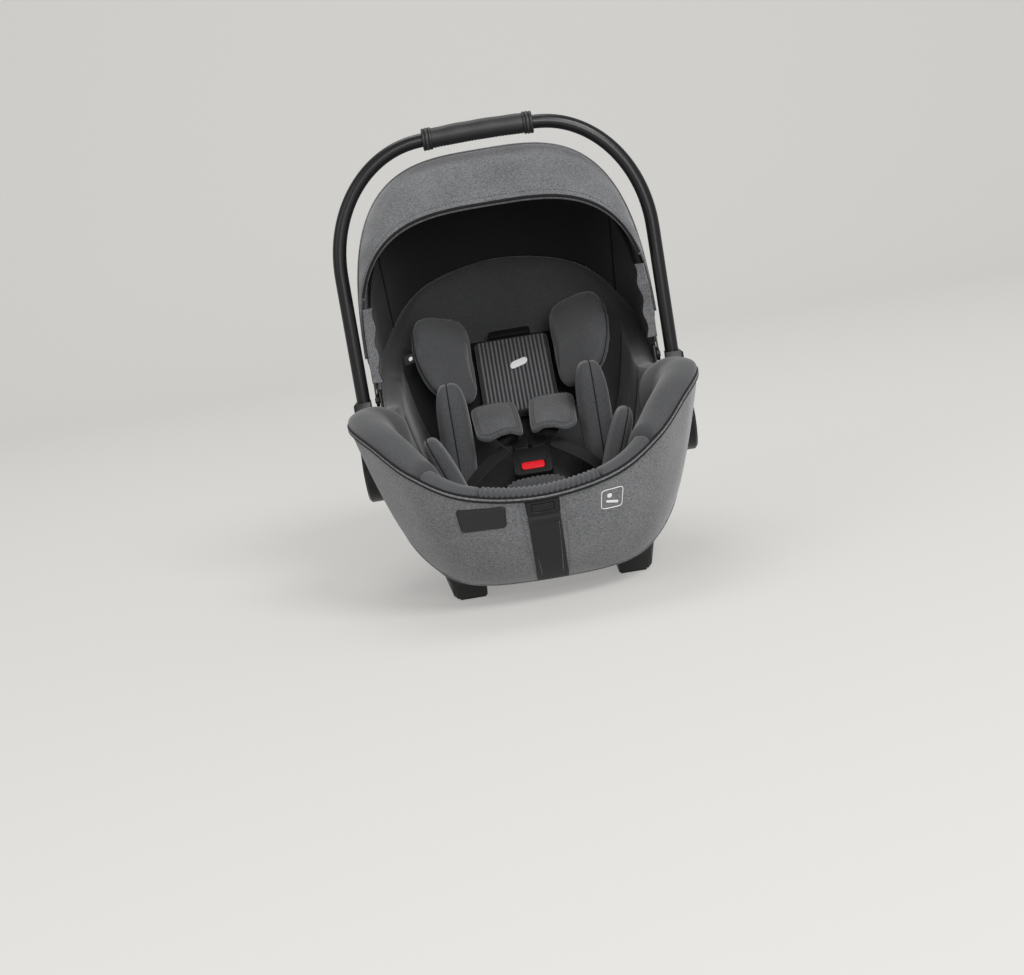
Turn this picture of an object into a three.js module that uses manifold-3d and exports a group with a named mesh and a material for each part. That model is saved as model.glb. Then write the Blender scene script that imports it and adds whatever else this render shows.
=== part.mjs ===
// Rear-facing infant car seat: a moulded shell on two runners, a foam liner and a padded
// cover inside it, a sliding headrest, a three-point harness, a folding canopy and a carry
// handle that swings back on two side hubs.
// Millimetres, +Z up. The foot end faces -Y and the head end +Y. Pieces named right are on +X.
import * as THREE from "three";
import { mergeVertices } from "three/addons/utils/BufferGeometryUtils.js";
import Module from "manifold-3d";

const wasm = await Module();
wasm.setup();

// ---------------------------------------------------------------- driving dimensions
const SHELL_HALF_WIDTH = 214; // at the front wings
const WAIST_SHARE = 0.845; // rim half width between the hubs, of the half width at the wings
const WAIST_X = WAIST_SHARE * SHELL_HALF_WIDTH;
const SHELL_FRONT_Y = -319;
const SHELL_BACK_Y = 313;
const FRONT_RIM_Z = 142; // rim height at the foot end
const SIDE_RIM_Z = 238; // rim height at the wings and hubs
const HEAD_RIM_Z = 392; // rim height at the head end
const SHELL_WALL = 3.5;
const BELLY_Z = 26; // underside of the shell
const SHELL_FLARE = 95; // how far a side wall leans out from the belly to the rim
const BASE_HALF_WIDTH = SHELL_HALF_WIDTH - SHELL_FLARE;
const BASE_FRONT_Y = -218;
const BASE_BACK_Y = 118;

const GAP = 0.4; // between pieces that touch
const RIM_BAND = 24; // from the shell's outer rim to the open cavity
const COVER_THICKNESS = 10; // padded seat cover
const SKIRT_THICKNESS = 3; // woven outer cover of the foot end
const BUM_Y = -15;
const BUM_Z = 62; // lowest point of the seat

const RUNNER_INNER_X = 84;
const RUNNER_FOOT_X = 126; // outer edge of a foot on the floor
const RUNNER_TOP_X = 138;
const RUNNER_FRONT_Y = -176;
const RUNNER_BACK_Y = 128;
const FOOT_LENGTH = 62;
const RUNNER_ARCH = 11; // how far a runner lifts off the floor between its feet
const FOOT_PAD_THICKNESS = 3;
const LOCK_BAR_RADIUS = 5;
const LOCK_BAR_INSET = 14; // how far a bar runs into each runner

const PIVOT_Y = 8;
const PIVOT_Z = 168; // axis of the carry handle
const HANDLE_TOP_Z = 577.5; // centre of the tube under the grip
const HANDLE_CLEARANCE = 16.67; // from the shell's waist to the handle ends
const HANDLE_END_INNER_X = WAIST_X + HANDLE_CLEARANCE;
const HANDLE_END_THICKNESS = 22.5;
const HANDLE_END_OUTER_X = HANDLE_END_INNER_X + HANDLE_END_THICKNESS;
const HANDLE_TUBE_RADIUS = 9;
const HANDLE_HALF_WIDTH = HANDLE_END_INNER_X + HANDLE_TUBE_RADIUS; // centre of a leg
const HANDLE_CROWN_HALF = 72; // straight part of the top, either side of the middle
const HANDLE_CORNER_HEIGHT = 160;
const GRIP_RADIUS = 13;
const GRIP_HALF_LENGTH = 72;
const CUFF_LENGTH = 12;
const CUFF_RADIUS = 14.5;
const HANDLE_END_RADIUS = 50;
const SOCKET_HEIGHT = 84; // top of the tube socket above the pivot
const SOCKET_HALF = 15;
const SOCKET_DEPTH = 52;
const BUTTON_RADIUS = 15;
const BUTTON_TRAVEL = 4;
const BUTTON_PROUD = 1;
const PIN_RADIUS = 7;
const PIN_TIP = 5; // how far the pin reaches into the handle end
const HUB_RADIUS = 42;

const CANOPY_Y = 14;
const CANOPY_Z = 250; // axis of the canopy's bows
const CANOPY_CLEARANCE = 11.17; // from the shell's waist to the fabric
const CANOPY_HALF_WIDTH = WAIST_X + CANOPY_CLEARANCE; // inside face of the fabric
const CANOPY_REACH = 302; // from the axis to the crest
const CANOPY_SQUARENESS = 3.3;
const CREST_TILT = 7; // degrees back from upright
const VISOR_TILT = -11; // degrees, at the visor's front edge
const VISOR_REACH = 236;
const MID_BOW_SHARE = 0.36; // of the hood, from its crest to the shell's rim
const MID_BOW_LIFT = 4; // how far the middle bow runs under the hood
const FABRIC = 2.2;
const HOOD_BULGE = 30;
const BOW_THICKNESS = 1.8;
const BOW_WIDTH = 9;
const CANOPY_PIN_RADIUS = 4;

const BACK_SLOPE = 41; // degrees, seat back and headrest from level
const HEADREST_Y = 76; // foot of the headrest's front face
const HEADREST_Z = 198;
const HEADREST_LENGTH = 156;
const HEADREST_PAD = 14;
const HEADREST_CORE = 5;
const HEADREST_PAD_HALF = 52;
const HEADREST_CORE_HALF = 92;
const WING_LENGTH = 158;
const WING_WIDTH = 104;
const WING_THICKNESS = 34;
const WING_ANGLE = 42; // degrees, how far a wing turns out of the back's plane
const WING_INNER = 45; // its inner edge, across from the middle
const WING_DROP = 2; // how far its foot hangs below the headrest's

const STRAP_WIDTH = 30;
const STRAP_THICKNESS = 1.6;
const SHOULDER_PAD_WIDTH = 62;
const SHOULDER_PAD_LENGTH = 118;
const SHOULDER_PAD_THICKNESS = 9;
const BUCKLE_Y = -62;
const BUCKLE_Z = 142;
const BUCKLE_WIDTH = 50;
const BUCKLE_HEIGHT = 46;
const BUCKLE_DEPTH = 18;
const BUCKLE_TILT = 52; // degrees, front face from upright
const BUCKLE_BUTTON_TRAVEL = 3;
const CROTCH_PAD_WIDTH = 82;
const CROTCH_PAD_LENGTH = 66;
const CROTCH_PAD_THICKNESS = 16;
const BODY_BOLSTER = { length: 154, depth: 70, thickness: 46, x: 93, y: -4, top: 262 };
const HIP_BOLSTER = { length: 112, depth: 70, thickness: 30, y: -120 };
const ADJUSTER_WIDTH = 38;
const ADJUSTER_LOW = 0.86; // the adjuster's lower edge, as a share of the wall's height
const LEVER_WIDTH = 26;
const BORDER_SHARE = 0.02; // of the wall's height, above and below a frame's window
const RELEASE_WIDTH = 118; // housing of the grip that frees the seat from a base
const GRIP_LOW = 0.72;
const GRIP_HIGH = 0.9;

// ---------------------------------------------------------------- materials
const finish = (color, roughness, metalness = 0) =>
  new THREE.MeshStandardMaterial({ color, roughness, metalness });
const MAT = {
  shell: finish(0x1b1b1c, 0.55),
  handle: finish(0x232324, 0.38, 0.4),
  steel: finish(0xb9bbbe, 0.3, 0.9),
  foam: finish(0x8b8d90, 0.9),
  heather: finish(0x66686b, 0.95),
  smooth: finish(0x4b4c4e, 0.9),
  leather: finish(0x232323, 0.6),
  webbing: finish(0x2a2a2b, 0.8),
  red: finish(0xc81c28, 0.35),
  rubber: finish(0x151515, 0.85),
};

// ---------------------------------------------------------------- helpers
const V = (x, y, z) => new THREE.Vector3(x, y, z);
const lerp = THREE.MathUtils.lerp;
const rad = THREE.MathUtils.degToRad;

// Triangles over a nearly flat ring of points, wound the way the ring runs.
function capFaces(ring) {
  const normal = V();
  ring.forEach((p, i) => normal.add(p.clone().cross(ring[(i + 1) % ring.length])));
  normal.normalize();
  const across = Math.abs(normal.x) > 0.9 ? V(0, 1, 0) : V(1, 0, 0);
  const up = normal.clone().cross(across).normalize();
  across.copy(up).cross(normal);
  const flat = ring.map((p) => new THREE.Vector2(p.dot(across), p.dot(up)));
  return THREE.ShapeUtils.triangulateShape(flat, []);
}

// A closed body through rings of points, capped at both ends and facing out. The rings may
// turn back on themselves, as an open bowl's do: up its inside and down its outside.
function loft(rings) {
  const columns = rings[0].length;
  const points = rings.flat();
  const faces = [];
  for (let i = 0; i + 1 < rings.length; i++) {
    for (let j = 0; j < columns; j++) {
      const a = i * columns + j;
      const b = i * columns + ((j + 1) % columns);
      const [c, d] = [b + columns, a + columns];
      // The shorter diagonal, so that walls at a constant distance stay clear of each other.
      const [toC, toD] = [points[a].distanceTo(points[c]), points[b].distanceTo(points[d])];
      if (toC < toD) faces.push([a, b, c], [a, c, d]);
      else faces.push([a, b, d], [b, c, d]);
    }
  }
  const last = (rings.length - 1) * columns;
  for (const [a, b, c] of capFaces(rings[0])) faces.push([a, c, b]);
  for (const face of capFaces(rings.at(-1))) faces.push(face.map((i) => i + last));
  let volume = 0;
  for (const [a, b, c] of faces) volume += points[a].dot(points[b].clone().cross(points[c]));
  if (volume < 0) faces.forEach((face) => face.reverse());
  return new THREE.BufferGeometry().setFromPoints(points).setIndex(faces.flat());
}

function solid(geometry) {
  const bare = new THREE.BufferGeometry().setAttribute("position", geometry.attributes.position);
  const merged = mergeVertices(bare.setIndex(geometry.index), 1e-3);
  return new wasm.Manifold(
    new wasm.Mesh({
      numProp: 3,
      vertProperties: merged.attributes.position.array,
      triVerts: new Uint32Array(merged.index.array),
    }),
  );
}

function geometryOf(body) {
  const mesh = body.getMesh();
  const positions = new Float32Array(mesh.numVert * 3);
  for (let i = 0; i < mesh.numVert; i++) {
    positions.set(mesh.vertProperties.subarray(i * mesh.numProp, i * mesh.numProp + 3), i * 3);
  }
  return new THREE.BufferGeometry()
    .setAttribute("position", new THREE.BufferAttribute(positions, 3))
    .setIndex(new THREE.BufferAttribute(mesh.triVerts, 1));
}

const cut = (geometry, ...tools) =>
  geometryOf(tools.reduce((body, tool) => body.subtract(solid(tool)), solid(geometry)));
const join = (...geometries) => geometryOf(geometries.map(solid).reduce((a, b) => a.add(b)));

// A round bar along X.
function barX(radius, x0, x1, y, z, sides = 20) {
  return new THREE.CylinderGeometry(radius, radius, x1 - x0, sides)
    .rotateZ(Math.PI / 2)
    .translate((x0 + x1) / 2, y, z);
}

function block(x0, x1, y0, y1, z0, z1) {
  return new THREE.BoxGeometry(x1 - x0, y1 - y0, z1 - z0).translate(
    (x0 + x1) / 2,
    (y0 + y1) / 2,
    (z0 + z1) / 2,
  );
}

// A bar of constant section swept along points. side(i) is the section's first axis there.
function sweep(points, side, outline) {
  const rings = points.map((p, i) => {
    const before = points[Math.max(i - 1, 0)];
    const after = points[Math.min(i + 1, points.length - 1)];
    const along = after.clone().sub(before).normalize();
    const a = side(i).clone();
    a.addScaledVector(along, -a.dot(along)).normalize();
    const b = along.clone().cross(a);
    return outline(i).map(([u, v]) => p.clone().addScaledVector(a, u).addScaledVector(b, v));
  });
  return loft(rings);
}

const circle = (radius, sides) =>
  Array.from({ length: sides }, (_, i) => {
    const angle = (2 * Math.PI * i) / sides;
    return [radius * Math.cos(angle), radius * Math.sin(angle)];
  });
const rectangle = (width, height) => [
  [-width / 2, -height / 2],
  [width / 2, -height / 2],
  [width / 2, height / 2],
  [-width / 2, height / 2],
];

const tube = (points, radius, sides) =>
  sweep(points, () => V(0, 1, 0), () => circle(radius, sides));

// A stuffed pad: a superellipse in section, rounded off towards both ends.
// Its length runs along local Z, its width along local X and its thickness along local Y.
function pillow(length, width, thickness, squareness = 2.6, sides = 16) {
  const steps = [-1, -0.9, -0.68, -0.3, 0.3, 0.68, 0.9, 1];
  return loft(
    steps.map((s) => {
      const scale = Math.max((1 - Math.abs(s) ** 4) ** (1 / 3), 0.5);
      return Array.from({ length: sides }, (_, i) => {
        const angle = (2 * Math.PI * i) / sides;
        const round = (value) => Math.sign(value) * Math.abs(value) ** (2 / squareness);
        return V(
          (width / 2) * scale * round(Math.cos(angle)),
          (thickness / 2) * scale * round(Math.sin(angle)),
          (length / 2) * s,
        );
      });
    }),
  );
}

// ---------------------------------------------------------------- shell surfaces
// The rim, from the middle of the foot end round the right side to the middle of the head
// end: share of the half width, share of the half length, and height (0 front, 1 side, 2 head).
const RIM_SHAPE = [
  [0, -1, 0],
  [0.41, -0.96, 0.12],
  [0.685, -0.868, 0.44],
  [0.88, -0.7, 0.8],
  [1, -0.49, 0.97],
  [1, -0.32, 1],
  [0.885, -0.16, 1],
  [WAIST_SHARE, 0.06, 1],
  [0.85, 0.36, 1.14],
  [0.81, 0.66, 1.43],
  [0.56, 0.9, 1.84],
  [0, 1, 2],
];
// The edge of the flat belly, in shares of its own half width and half length.
const BASE_SHAPE = [
  [0, -1],
  [0.44, -0.976],
  [0.71, -0.92],
  [0.875, -0.81],
  [0.96, -0.625],
  [0.99, -0.39],
  [1, -0.09],
  [1, 0.24],
  [0.975, 0.56],
  [0.875, 0.82],
  [0.52, 0.965],
  [0, 1],
];
const STATIONS = 2 * (RIM_SHAPE.length - 1);
const COLUMNS = 2 * STATIONS;
const STATION = (index) => index / STATIONS;

function closedCurve(half) {
  const mirrored = half.slice(1, -1).reverse().map((p) => V(-p.x, p.y, p.z));
  return new THREE.CatmullRomCurve3([...half, ...mirrored], true, "catmullrom", 0.5);
}

const rimHeight = (share) =>
  share <= 1
    ? lerp(FRONT_RIM_Z, SIDE_RIM_Z, share)
    : lerp(SIDE_RIM_Z, HEAD_RIM_Z, share - 1);
const alongShell = (share) =>
  lerp(SHELL_FRONT_Y, SHELL_BACK_Y, (share + 1) / 2);
const alongBase = (share) => lerp(BASE_FRONT_Y, BASE_BACK_Y, (share + 1) / 2);
const rimCurve = closedCurve(
  RIM_SHAPE.map(([x, y, z]) => V(x * SHELL_HALF_WIDTH, alongShell(y), rimHeight(z))),
);
const baseCurve = closedCurve(
  BASE_SHAPE.map(([x, y]) => V(x * BASE_HALF_WIDTH, alongBase(y), BELLY_Z)),
);
const wrap = (t) => ((t % 1) + 1) % 1;

// 1 at the head end, 0 at the sides and the foot end.
const backness = (t) => Math.max(0, -Math.cos(2 * Math.PI * t)) ** 2;

// Outside of the shell: t runs round it, u from the belly's edge (0) to the rim (1).
function outerWall(t, u) {
  const rim = rimCurve.getPoint(wrap(t));
  const base = baseCurve.getPoint(wrap(t));
  const out = u ** lerp(0.6, 0.72, backness(t));
  const upward = u ** lerp(1.15, 1, backness(t));
  return V(lerp(base.x, rim.x, out), lerp(base.y, rim.y, out), lerp(base.z, rim.z, upward));
}

// A point moved off a surface along its normal; positive is away from the seat's inside.
function offset(surface, t, u, distance) {
  const e = 1e-3;
  const along = surface(t + e, u).sub(surface(t - e, u));
  const upward = surface(t, Math.min(u + e, 1)).sub(surface(t, Math.max(u - e, 0)));
  return surface(t, u).addScaledVector(along.cross(upward).normalize(), distance);
}

// The cavity's rim: the shell's rim moved in, level with it.
function cavityRim(t) {
  const e = 1e-3;
  const along = rimCurve.getPoint(wrap(t + e)).sub(rimCurve.getPoint(wrap(t - e)));
  const outward = V(along.y, -along.x, 0).normalize();
  return rimCurve.getPoint(wrap(t)).addScaledVector(outward, -RIM_BAND);
}

// Inside of the seat: t runs round it, u from the lowest point (0) to the cavity's rim (1).
function cavity(t, u) {
  const rim = cavityRim(t);
  const towards = V(rim.x, rim.y - BUM_Y, 0).normalize().y;
  const straight = towards > 0 ? lerp(0.1, 0.82, towards ** 2) : lerp(0.1, 0.22, -towards);
  const corner = towards > 0 ? lerp(5, 14, towards ** 2) : 5;
  const share = straight * u + (1 - straight) * u ** corner;
  return V(rim.x * u, lerp(BUM_Y, rim.y, u), lerp(BUM_Z, rim.z, share));
}

const ring = (surface, u, distance, columns = COLUMNS) =>
  Array.from({ length: columns }, (_, i) => offset(surface, i / columns, u, distance));

const WALL_STEPS = [0, 0.06, 0.2, 0.46, 0.75, 1];
const PLUG_RISE = 60; // how far a plug stands above the rim
const CAVITY_STEPS = [0.05, 0.25, 0.48, 0.68, 0.83, 0.93, 1];

// Everything inside the shell's outer face grown by a distance, to cut neighbours with.
function shellPlug(distance) {
  const rings = WALL_STEPS.map((u) => ring(outerWall, u, distance));
  const above = rings.at(-1).map((p) => p.clone().add(V(0, 0, PLUG_RISE)));
  return loft([...rings, above]);
}

// A curved sheet on a surface: rings from (t0) to (t1), each a thin closed loop from
// low(t) up to high(t), between two distances off the surface.
function sheetOn(surface, t0, t1, low, high, near, far, around, up) {
  const rings = Array.from({ length: around + 1 }, (_, i) => {
    const t = lerp(t0, t1, i / around);
    const at = (j, d) => offset(surface, t, lerp(low(t), high(t), j / up), d);
    const nearSide = Array.from({ length: up + 1 }, (_, j) => at(j, near));
    const farSide = Array.from({ length: up + 1 }, (_, j) => at(up - j, far));
    return [...nearSide, ...farSide];
  });
  return loft(rings);
}

// ---------------------------------------------------------------- assembly helpers
const seat = new THREE.Group();

function add(name, geometry, material, parent = seat) {
  const mesh = new THREE.Mesh(geometry, material);
  mesh.name = name;
  parent.add(mesh);
  return mesh;
}

// The right-hand piece, and its mirror image on the left.
function addPair(name, geometry, material, place = () => {}) {
  for (const side of [1, -1]) {
    const holder = new THREE.Group();
    holder.scale.x = side;
    seat.add(holder);
    place(add(`${name}_${side > 0 ? "right" : "left"}`, geometry, material, holder));
  }
}

// Turns a piece so that its local Z lies along one direction and its local Y faces another.
function aim(mesh, position, along, facing) {
  const z = along.clone().normalize();
  const x = facing.clone().cross(z).normalize();
  const y = z.clone().cross(x);
  mesh.position.copy(position);
  mesh.quaternion.setFromRotationMatrix(new THREE.Matrix4().makeBasis(x, y, z));
}

// ---------------------------------------------------------------- shell, foam and cover
function makeShell() {
  const inside = WALL_STEPS.map((u) => ring(outerWall, u, -SHELL_WALL));
  const outside = WALL_STEPS.map((u) => ring(outerWall, u, 0)).reverse();
  add("outer_shell", loft([...inside, ...outside]), MAT.shell);
}

function makeFoam() {
  const inside = CAVITY_STEPS.map((u) => ring(cavity, u, COVER_THICKNESS + GAP));
  const outside = WALL_STEPS.map((u) => ring(outerWall, u, -SHELL_WALL - GAP)).reverse();
  add("foam_liner", loft([...inside, ...outside]), MAT.foam);
}

function makeSeatCover() {
  const inside = CAVITY_STEPS.map((u) => ring(cavity, u, 0));
  const outside = CAVITY_STEPS.map((u) => ring(cavity, u, COVER_THICKNESS)).reverse();
  add("seat_cover", loft([...inside, ...outside]), MAT.smooth);
}

// How high the skirt's lower edge runs on the shell's wall, station by station.
const SKIRT_LOW = [0.02, 0.03, 0.07, 0.16, 0.3, 0.5, 0.74];
const SKIRT_END = SKIRT_LOW.length - 1;
const SLOT_HALF_WIDTH = ADJUSTER_WIDTH / 2 + 2;
const SLOT_LOW = 0.06; // where the strap's slot ends, above the skirt's lower hem
function skirtLow(t) {
  const station = Math.min(Math.abs(t) * STATIONS, SKIRT_END);
  const whole = Math.min(Math.floor(station), SKIRT_END - 1);
  return lerp(SKIRT_LOW[whole], SKIRT_LOW[whole + 1], station - whole);
}

function makeFrontSkirt() {
  const end = STATION(SKIRT_END);
  const sunk = -SHELL_WALL / 2;
  const sheet = sheetOn(outerWall, -end, end, skirtLow, () => 1, sunk, GAP + SKIRT_THICKNESS, 24, 7);
  const skirt = cut(sheet, shellPlug(GAP));
  const slot = block(
    -SLOT_HALF_WIDTH, SLOT_HALF_WIDTH,
    SHELL_FRONT_Y - 20, BASE_FRONT_Y + 30,
    outerWall(0, SLOT_LOW).z, FRONT_RIM_Z + 20,
  );
  add("front_skirt", cut(skirt, slot), MAT.heather);
}

// A soft roll on the rim, from station a to station b. The outline is in millimetres:
// first outwards from the shell's rim, then up from it.
function rimRoll(a, b, outline, steps) {
  const rings = Array.from({ length: steps + 1 }, (_, i) => {
    const t = lerp(STATION(a), STATION(b), i / steps);
    const rim = rimCurve.getPoint(wrap(t));
    const outward = rim.clone().sub(cavityRim(t)).normalize();
    return outline.map(([out, up]) => rim.clone().addScaledVector(outward, out).add(V(0, 0, up)));
  });
  return loft(rings);
}

const WING_ROLL = [
  [3, 2],
  [3.4, 8],
  [-4, 13],
  [-16, 15],
  [-28, 11],
  [-36, 1],
  [-38, -16],
  [-34, -16],
  [-31, 2],
];
const FRONT_ROLL = [
  [3, 3],
  [3, 7],
  [-6, 10],
  [-20, 9],
  [-29, 3],
];
const ROLL_SPLIT = 2.5; // station where the front roll meets the wing rolls

function makeRimPads() {
  addPair("wing_pad", rimRoll(ROLL_SPLIT + 0.06, 6, WING_ROLL, 7), MAT.smooth);
  add("front_rim_pad", rimRoll(-ROLL_SPLIT, ROLL_SPLIT, FRONT_ROLL, 10), MAT.smooth);
}

// ---------------------------------------------------------------- underside
function makeRunners() {
  const bottom = FOOT_PAD_THICKNESS + GAP;
  const top = BELLY_Z + 30;
  const stops = [
    [RUNNER_FRONT_Y, bottom + 20],
    [RUNNER_FRONT_Y + 16, bottom],
    [RUNNER_FRONT_Y + 16 + FOOT_LENGTH, bottom],
    [RUNNER_FRONT_Y + 32 + FOOT_LENGTH, bottom + RUNNER_ARCH],
    [RUNNER_BACK_Y - FOOT_LENGTH - 32, bottom + RUNNER_ARCH],
    [RUNNER_BACK_Y - FOOT_LENGTH - 16, bottom],
    [RUNNER_BACK_Y - 16, bottom],
    [RUNNER_BACK_Y, bottom + 20],
  ];
  const rail = loft(
    stops.map(([y, z]) => [
      V(RUNNER_INNER_X, y, z),
      V(RUNNER_FOOT_X - 5, y, z),
      V(RUNNER_FOOT_X, y, z + 5),
      V(RUNNER_TOP_X, y, top),
      V(RUNNER_INNER_X, y, top),
    ]),
  );
  const bars = LOCK_BARS.map(({ y }) =>
    barX(LOCK_BAR_RADIUS + GAP, 0, RUNNER_INNER_X + LOCK_BAR_INSET + GAP, y, LOCK_BAR_Z, 16),
  );
  addPair("runner", cut(rail, shellPlug(GAP), ...bars), MAT.shell);
}

const LOCK_BAR_Z = BELLY_Z - LOCK_BAR_RADIUS - 6;
const LOCK_BARS = [
  { name: "front_lock_bar", y: RUNNER_FRONT_Y + 16 + FOOT_LENGTH / 2 },
  { name: "rear_lock_bar", y: RUNNER_BACK_Y - 16 - FOOT_LENGTH / 2 },
];

function makeLockBars() {
  const reach = RUNNER_INNER_X + LOCK_BAR_INSET;
  for (const { name, y } of LOCK_BARS) {
    add(name, barX(LOCK_BAR_RADIUS, -reach, reach, y, LOCK_BAR_Z, 16), MAT.steel);
  }
}

function makeFootPads() {
  const x = (RUNNER_INNER_X + RUNNER_FOOT_X - 5) / 2;
  const width = RUNNER_FOOT_X - 5 - RUNNER_INNER_X - 4;
  const length = FOOT_LENGTH - 14;
  const pad = block(x - width / 2, x + width / 2, -length / 2, length / 2, 0, FOOT_PAD_THICKNESS);
  const front = RUNNER_FRONT_Y + 16 + FOOT_LENGTH / 2;
  const back = RUNNER_BACK_Y - 16 - FOOT_LENGTH / 2;
  addPair("front_foot_pad", pad, MAT.rubber, (mesh) => mesh.position.setY(front));
  addPair("rear_foot_pad", pad, MAT.rubber, (mesh) => mesh.position.setY(back));
}

// ---------------------------------------------------------------- handle and hubs
function makeHubs() {
  const hub = barX(HUB_RADIUS, 120, HANDLE_END_INNER_X - 1, PIVOT_Y, PIVOT_Z, 28);
  const pinFrom = HANDLE_END_INNER_X - 20;
  const pinTo = HANDLE_END_INNER_X + PIN_TIP;
  const hole = barX(PIN_RADIUS + GAP, pinFrom - GAP, pinTo, PIVOT_Y, PIVOT_Z);
  addPair("hub_housing", cut(hub, shellPlug(GAP), hole), MAT.shell);
  addPair("pivot_pin", barX(PIN_RADIUS, pinFrom, pinTo, PIVOT_Y, PIVOT_Z), MAT.steel);
}

function handleEndShape() {
  const shape = new THREE.Shape();
  const topZ = PIVOT_Z + SOCKET_HEIGHT;
  shape.moveTo(PIVOT_Y + SOCKET_HALF, topZ);
  shape.lineTo(PIVOT_Y - SOCKET_HALF, topZ);
  shape.quadraticCurveTo(
    PIVOT_Y - SOCKET_HALF - 4, PIVOT_Z + HANDLE_END_RADIUS,
    PIVOT_Y - HANDLE_END_RADIUS, PIVOT_Z,
  );
  shape.absarc(PIVOT_Y, PIVOT_Z, HANDLE_END_RADIUS, Math.PI, 2 * Math.PI, false);
  shape.quadraticCurveTo(
    PIVOT_Y + SOCKET_HALF + 4, PIVOT_Z + HANDLE_END_RADIUS,
    PIVOT_Y + SOCKET_HALF, topZ,
  );
  return shape;
}

const SOCKET_BOTTOM = PIVOT_Z + SOCKET_HEIGHT - SOCKET_DEPTH;
const BUTTON_FLOOR = HANDLE_END_OUTER_X - 16;

function makeHandleEnds() {
  const bevel = 3;
  const plate = new THREE.ExtrudeGeometry(handleEndShape(), {
    depth: HANDLE_END_OUTER_X - HANDLE_END_INNER_X - bevel,
    bevelThickness: bevel,
    bevelSize: bevel,
    bevelOffset: -bevel,
    bevelSegments: 1,
    curveSegments: 9,
  })
    .applyMatrix4(new THREE.Matrix4().makeBasis(V(0, 1, 0), V(0, 0, 1), V(1, 0, 0)))
    .translate(HANDLE_END_INNER_X, 0, 0);
  const flatInside = block(0, HANDLE_END_INNER_X, -200, 200, 0, 600);
  const socket = new THREE.CylinderGeometry(
    HANDLE_TUBE_RADIUS + GAP, HANDLE_TUBE_RADIUS + GAP, SOCKET_DEPTH + 20, 20,
  )
    .rotateX(Math.PI / 2)
    .translate(HANDLE_HALF_WIDTH, PIVOT_Y, SOCKET_BOTTOM + SOCKET_DEPTH / 2 + 10);
  const pinHole = barX(
    PIN_RADIUS + GAP, HANDLE_END_INNER_X - 5, BUTTON_FLOOR + 1, PIVOT_Y, PIVOT_Z,
  );
  const well = barX(
    BUTTON_RADIUS + GAP, BUTTON_FLOOR, HANDLE_END_OUTER_X + 10, PIVOT_Y, PIVOT_Z, 24,
  );
  addPair("handle_end", cut(plate, flatInside, socket, pinHole, well), MAT.shell);
  const button = barX(
    BUTTON_RADIUS, BUTTON_FLOOR + BUTTON_TRAVEL + 2, HANDLE_END_OUTER_X + BUTTON_PROUD,
    PIVOT_Y, PIVOT_Z, 24,
  );
  addPair("handle_button", button, MAT.shell);
}

// Centre line of the handle's tube, from the right leg's foot over the top to the left.
function handlePath(bottom) {
  const cornerZ = HANDLE_TOP_Z - HANDLE_CORNER_HEIGHT;
  const cornerWidth = HANDLE_HALF_WIDTH - HANDLE_CROWN_HALF;
  const right = [V(HANDLE_HALF_WIDTH, PIVOT_Y, bottom), V(HANDLE_HALF_WIDTH, PIVOT_Y, cornerZ - 60)];
  const steps = 12;
  for (let i = 0; i < steps; i++) {
    const angle = (Math.PI / 2) * (i / steps);
    right.push(
      V(
        HANDLE_CROWN_HALF + cornerWidth * Math.cos(angle),
        PIVOT_Y,
        cornerZ + (HANDLE_CORNER_HEIGHT - 2) * Math.sin(angle),
      ),
    );
  }
  for (let i = 4; i > 0; i--) {
    const share = i / 4;
    right.push(V(HANDLE_CROWN_HALF * share, PIVOT_Y, HANDLE_TOP_Z - 2 * share ** 2));
  }
  const left = right.map((p) => V(-p.x, p.y, p.z)).reverse();
  return [...right, V(0, PIVOT_Y, HANDLE_TOP_Z), ...left];
}

// The part of the handle's crown between two distances from the middle.
function crown(x0, x1, steps) {
  return Array.from({ length: steps + 1 }, (_, i) => {
    const x = lerp(x0, x1, i / steps);
    return V(x, PIVOT_Y, HANDLE_TOP_Z - 2 * (x / HANDLE_CROWN_HALF) ** 2);
  });
}

function makeHandle() {
  const path = handlePath(SOCKET_BOTTOM + 1);
  add("handle_tube", tube(path, HANDLE_TUBE_RADIUS, 10), MAT.handle);
  const reach = GRIP_HALF_LENGTH - CUFF_LENGTH;
  const bore = HANDLE_TUBE_RADIUS + GAP;
  const hollow = (x0, x1, radius, steps) =>
    cut(tube(crown(x0, x1, steps), radius, 16), tube(crown(x0 - 3, x1 + 3, steps), bore + 0.6, 12));
  add("grip_sleeve", hollow(-reach + GAP, reach - GAP, GRIP_RADIUS, 6), MAT.leather);
  addPair("grip_cuff", hollow(reach, GRIP_HALF_LENGTH, CUFF_RADIUS, 1), MAT.leather);
}

// ---------------------------------------------------------------- canopy
// A point on an arch that stands on the canopy's axis: angle runs from the right end (0)
// over the top to the left end (pi), tilt is in degrees back from upright.
function archPoint(angle, tilt, reach, halfWidth) {
  const power = 2 / CANOPY_SQUARENESS;
  const across = Math.sign(Math.cos(angle)) * Math.abs(Math.cos(angle)) ** power;
  const radius = reach * Math.abs(Math.sin(angle)) ** power;
  return V(
    halfWidth * across,
    CANOPY_Y + radius * Math.sin(rad(tilt)),
    CANOPY_Z + radius * Math.cos(rad(tilt)),
  );
}

// Angles that place points evenly enough along the squarish arch.
const archAngle = (share) => {
  const eased = share < 0.5 ? 0.5 * (2 * share) ** 1.7 : 1 - 0.5 * (2 - 2 * share) ** 1.7;
  return Math.PI * eased;
};

const CANOPY_START = 0.075; // share of the arch where the fabric starts above the axis
const ARCH_STEPS = 20;
const archShare = (s) => lerp(CANOPY_START, 1 - CANOPY_START, s);
const onArch = (s, tilt, reach, halfWidth) => archPoint(archAngle(archShare(s)), tilt, reach, halfWidth);

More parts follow.
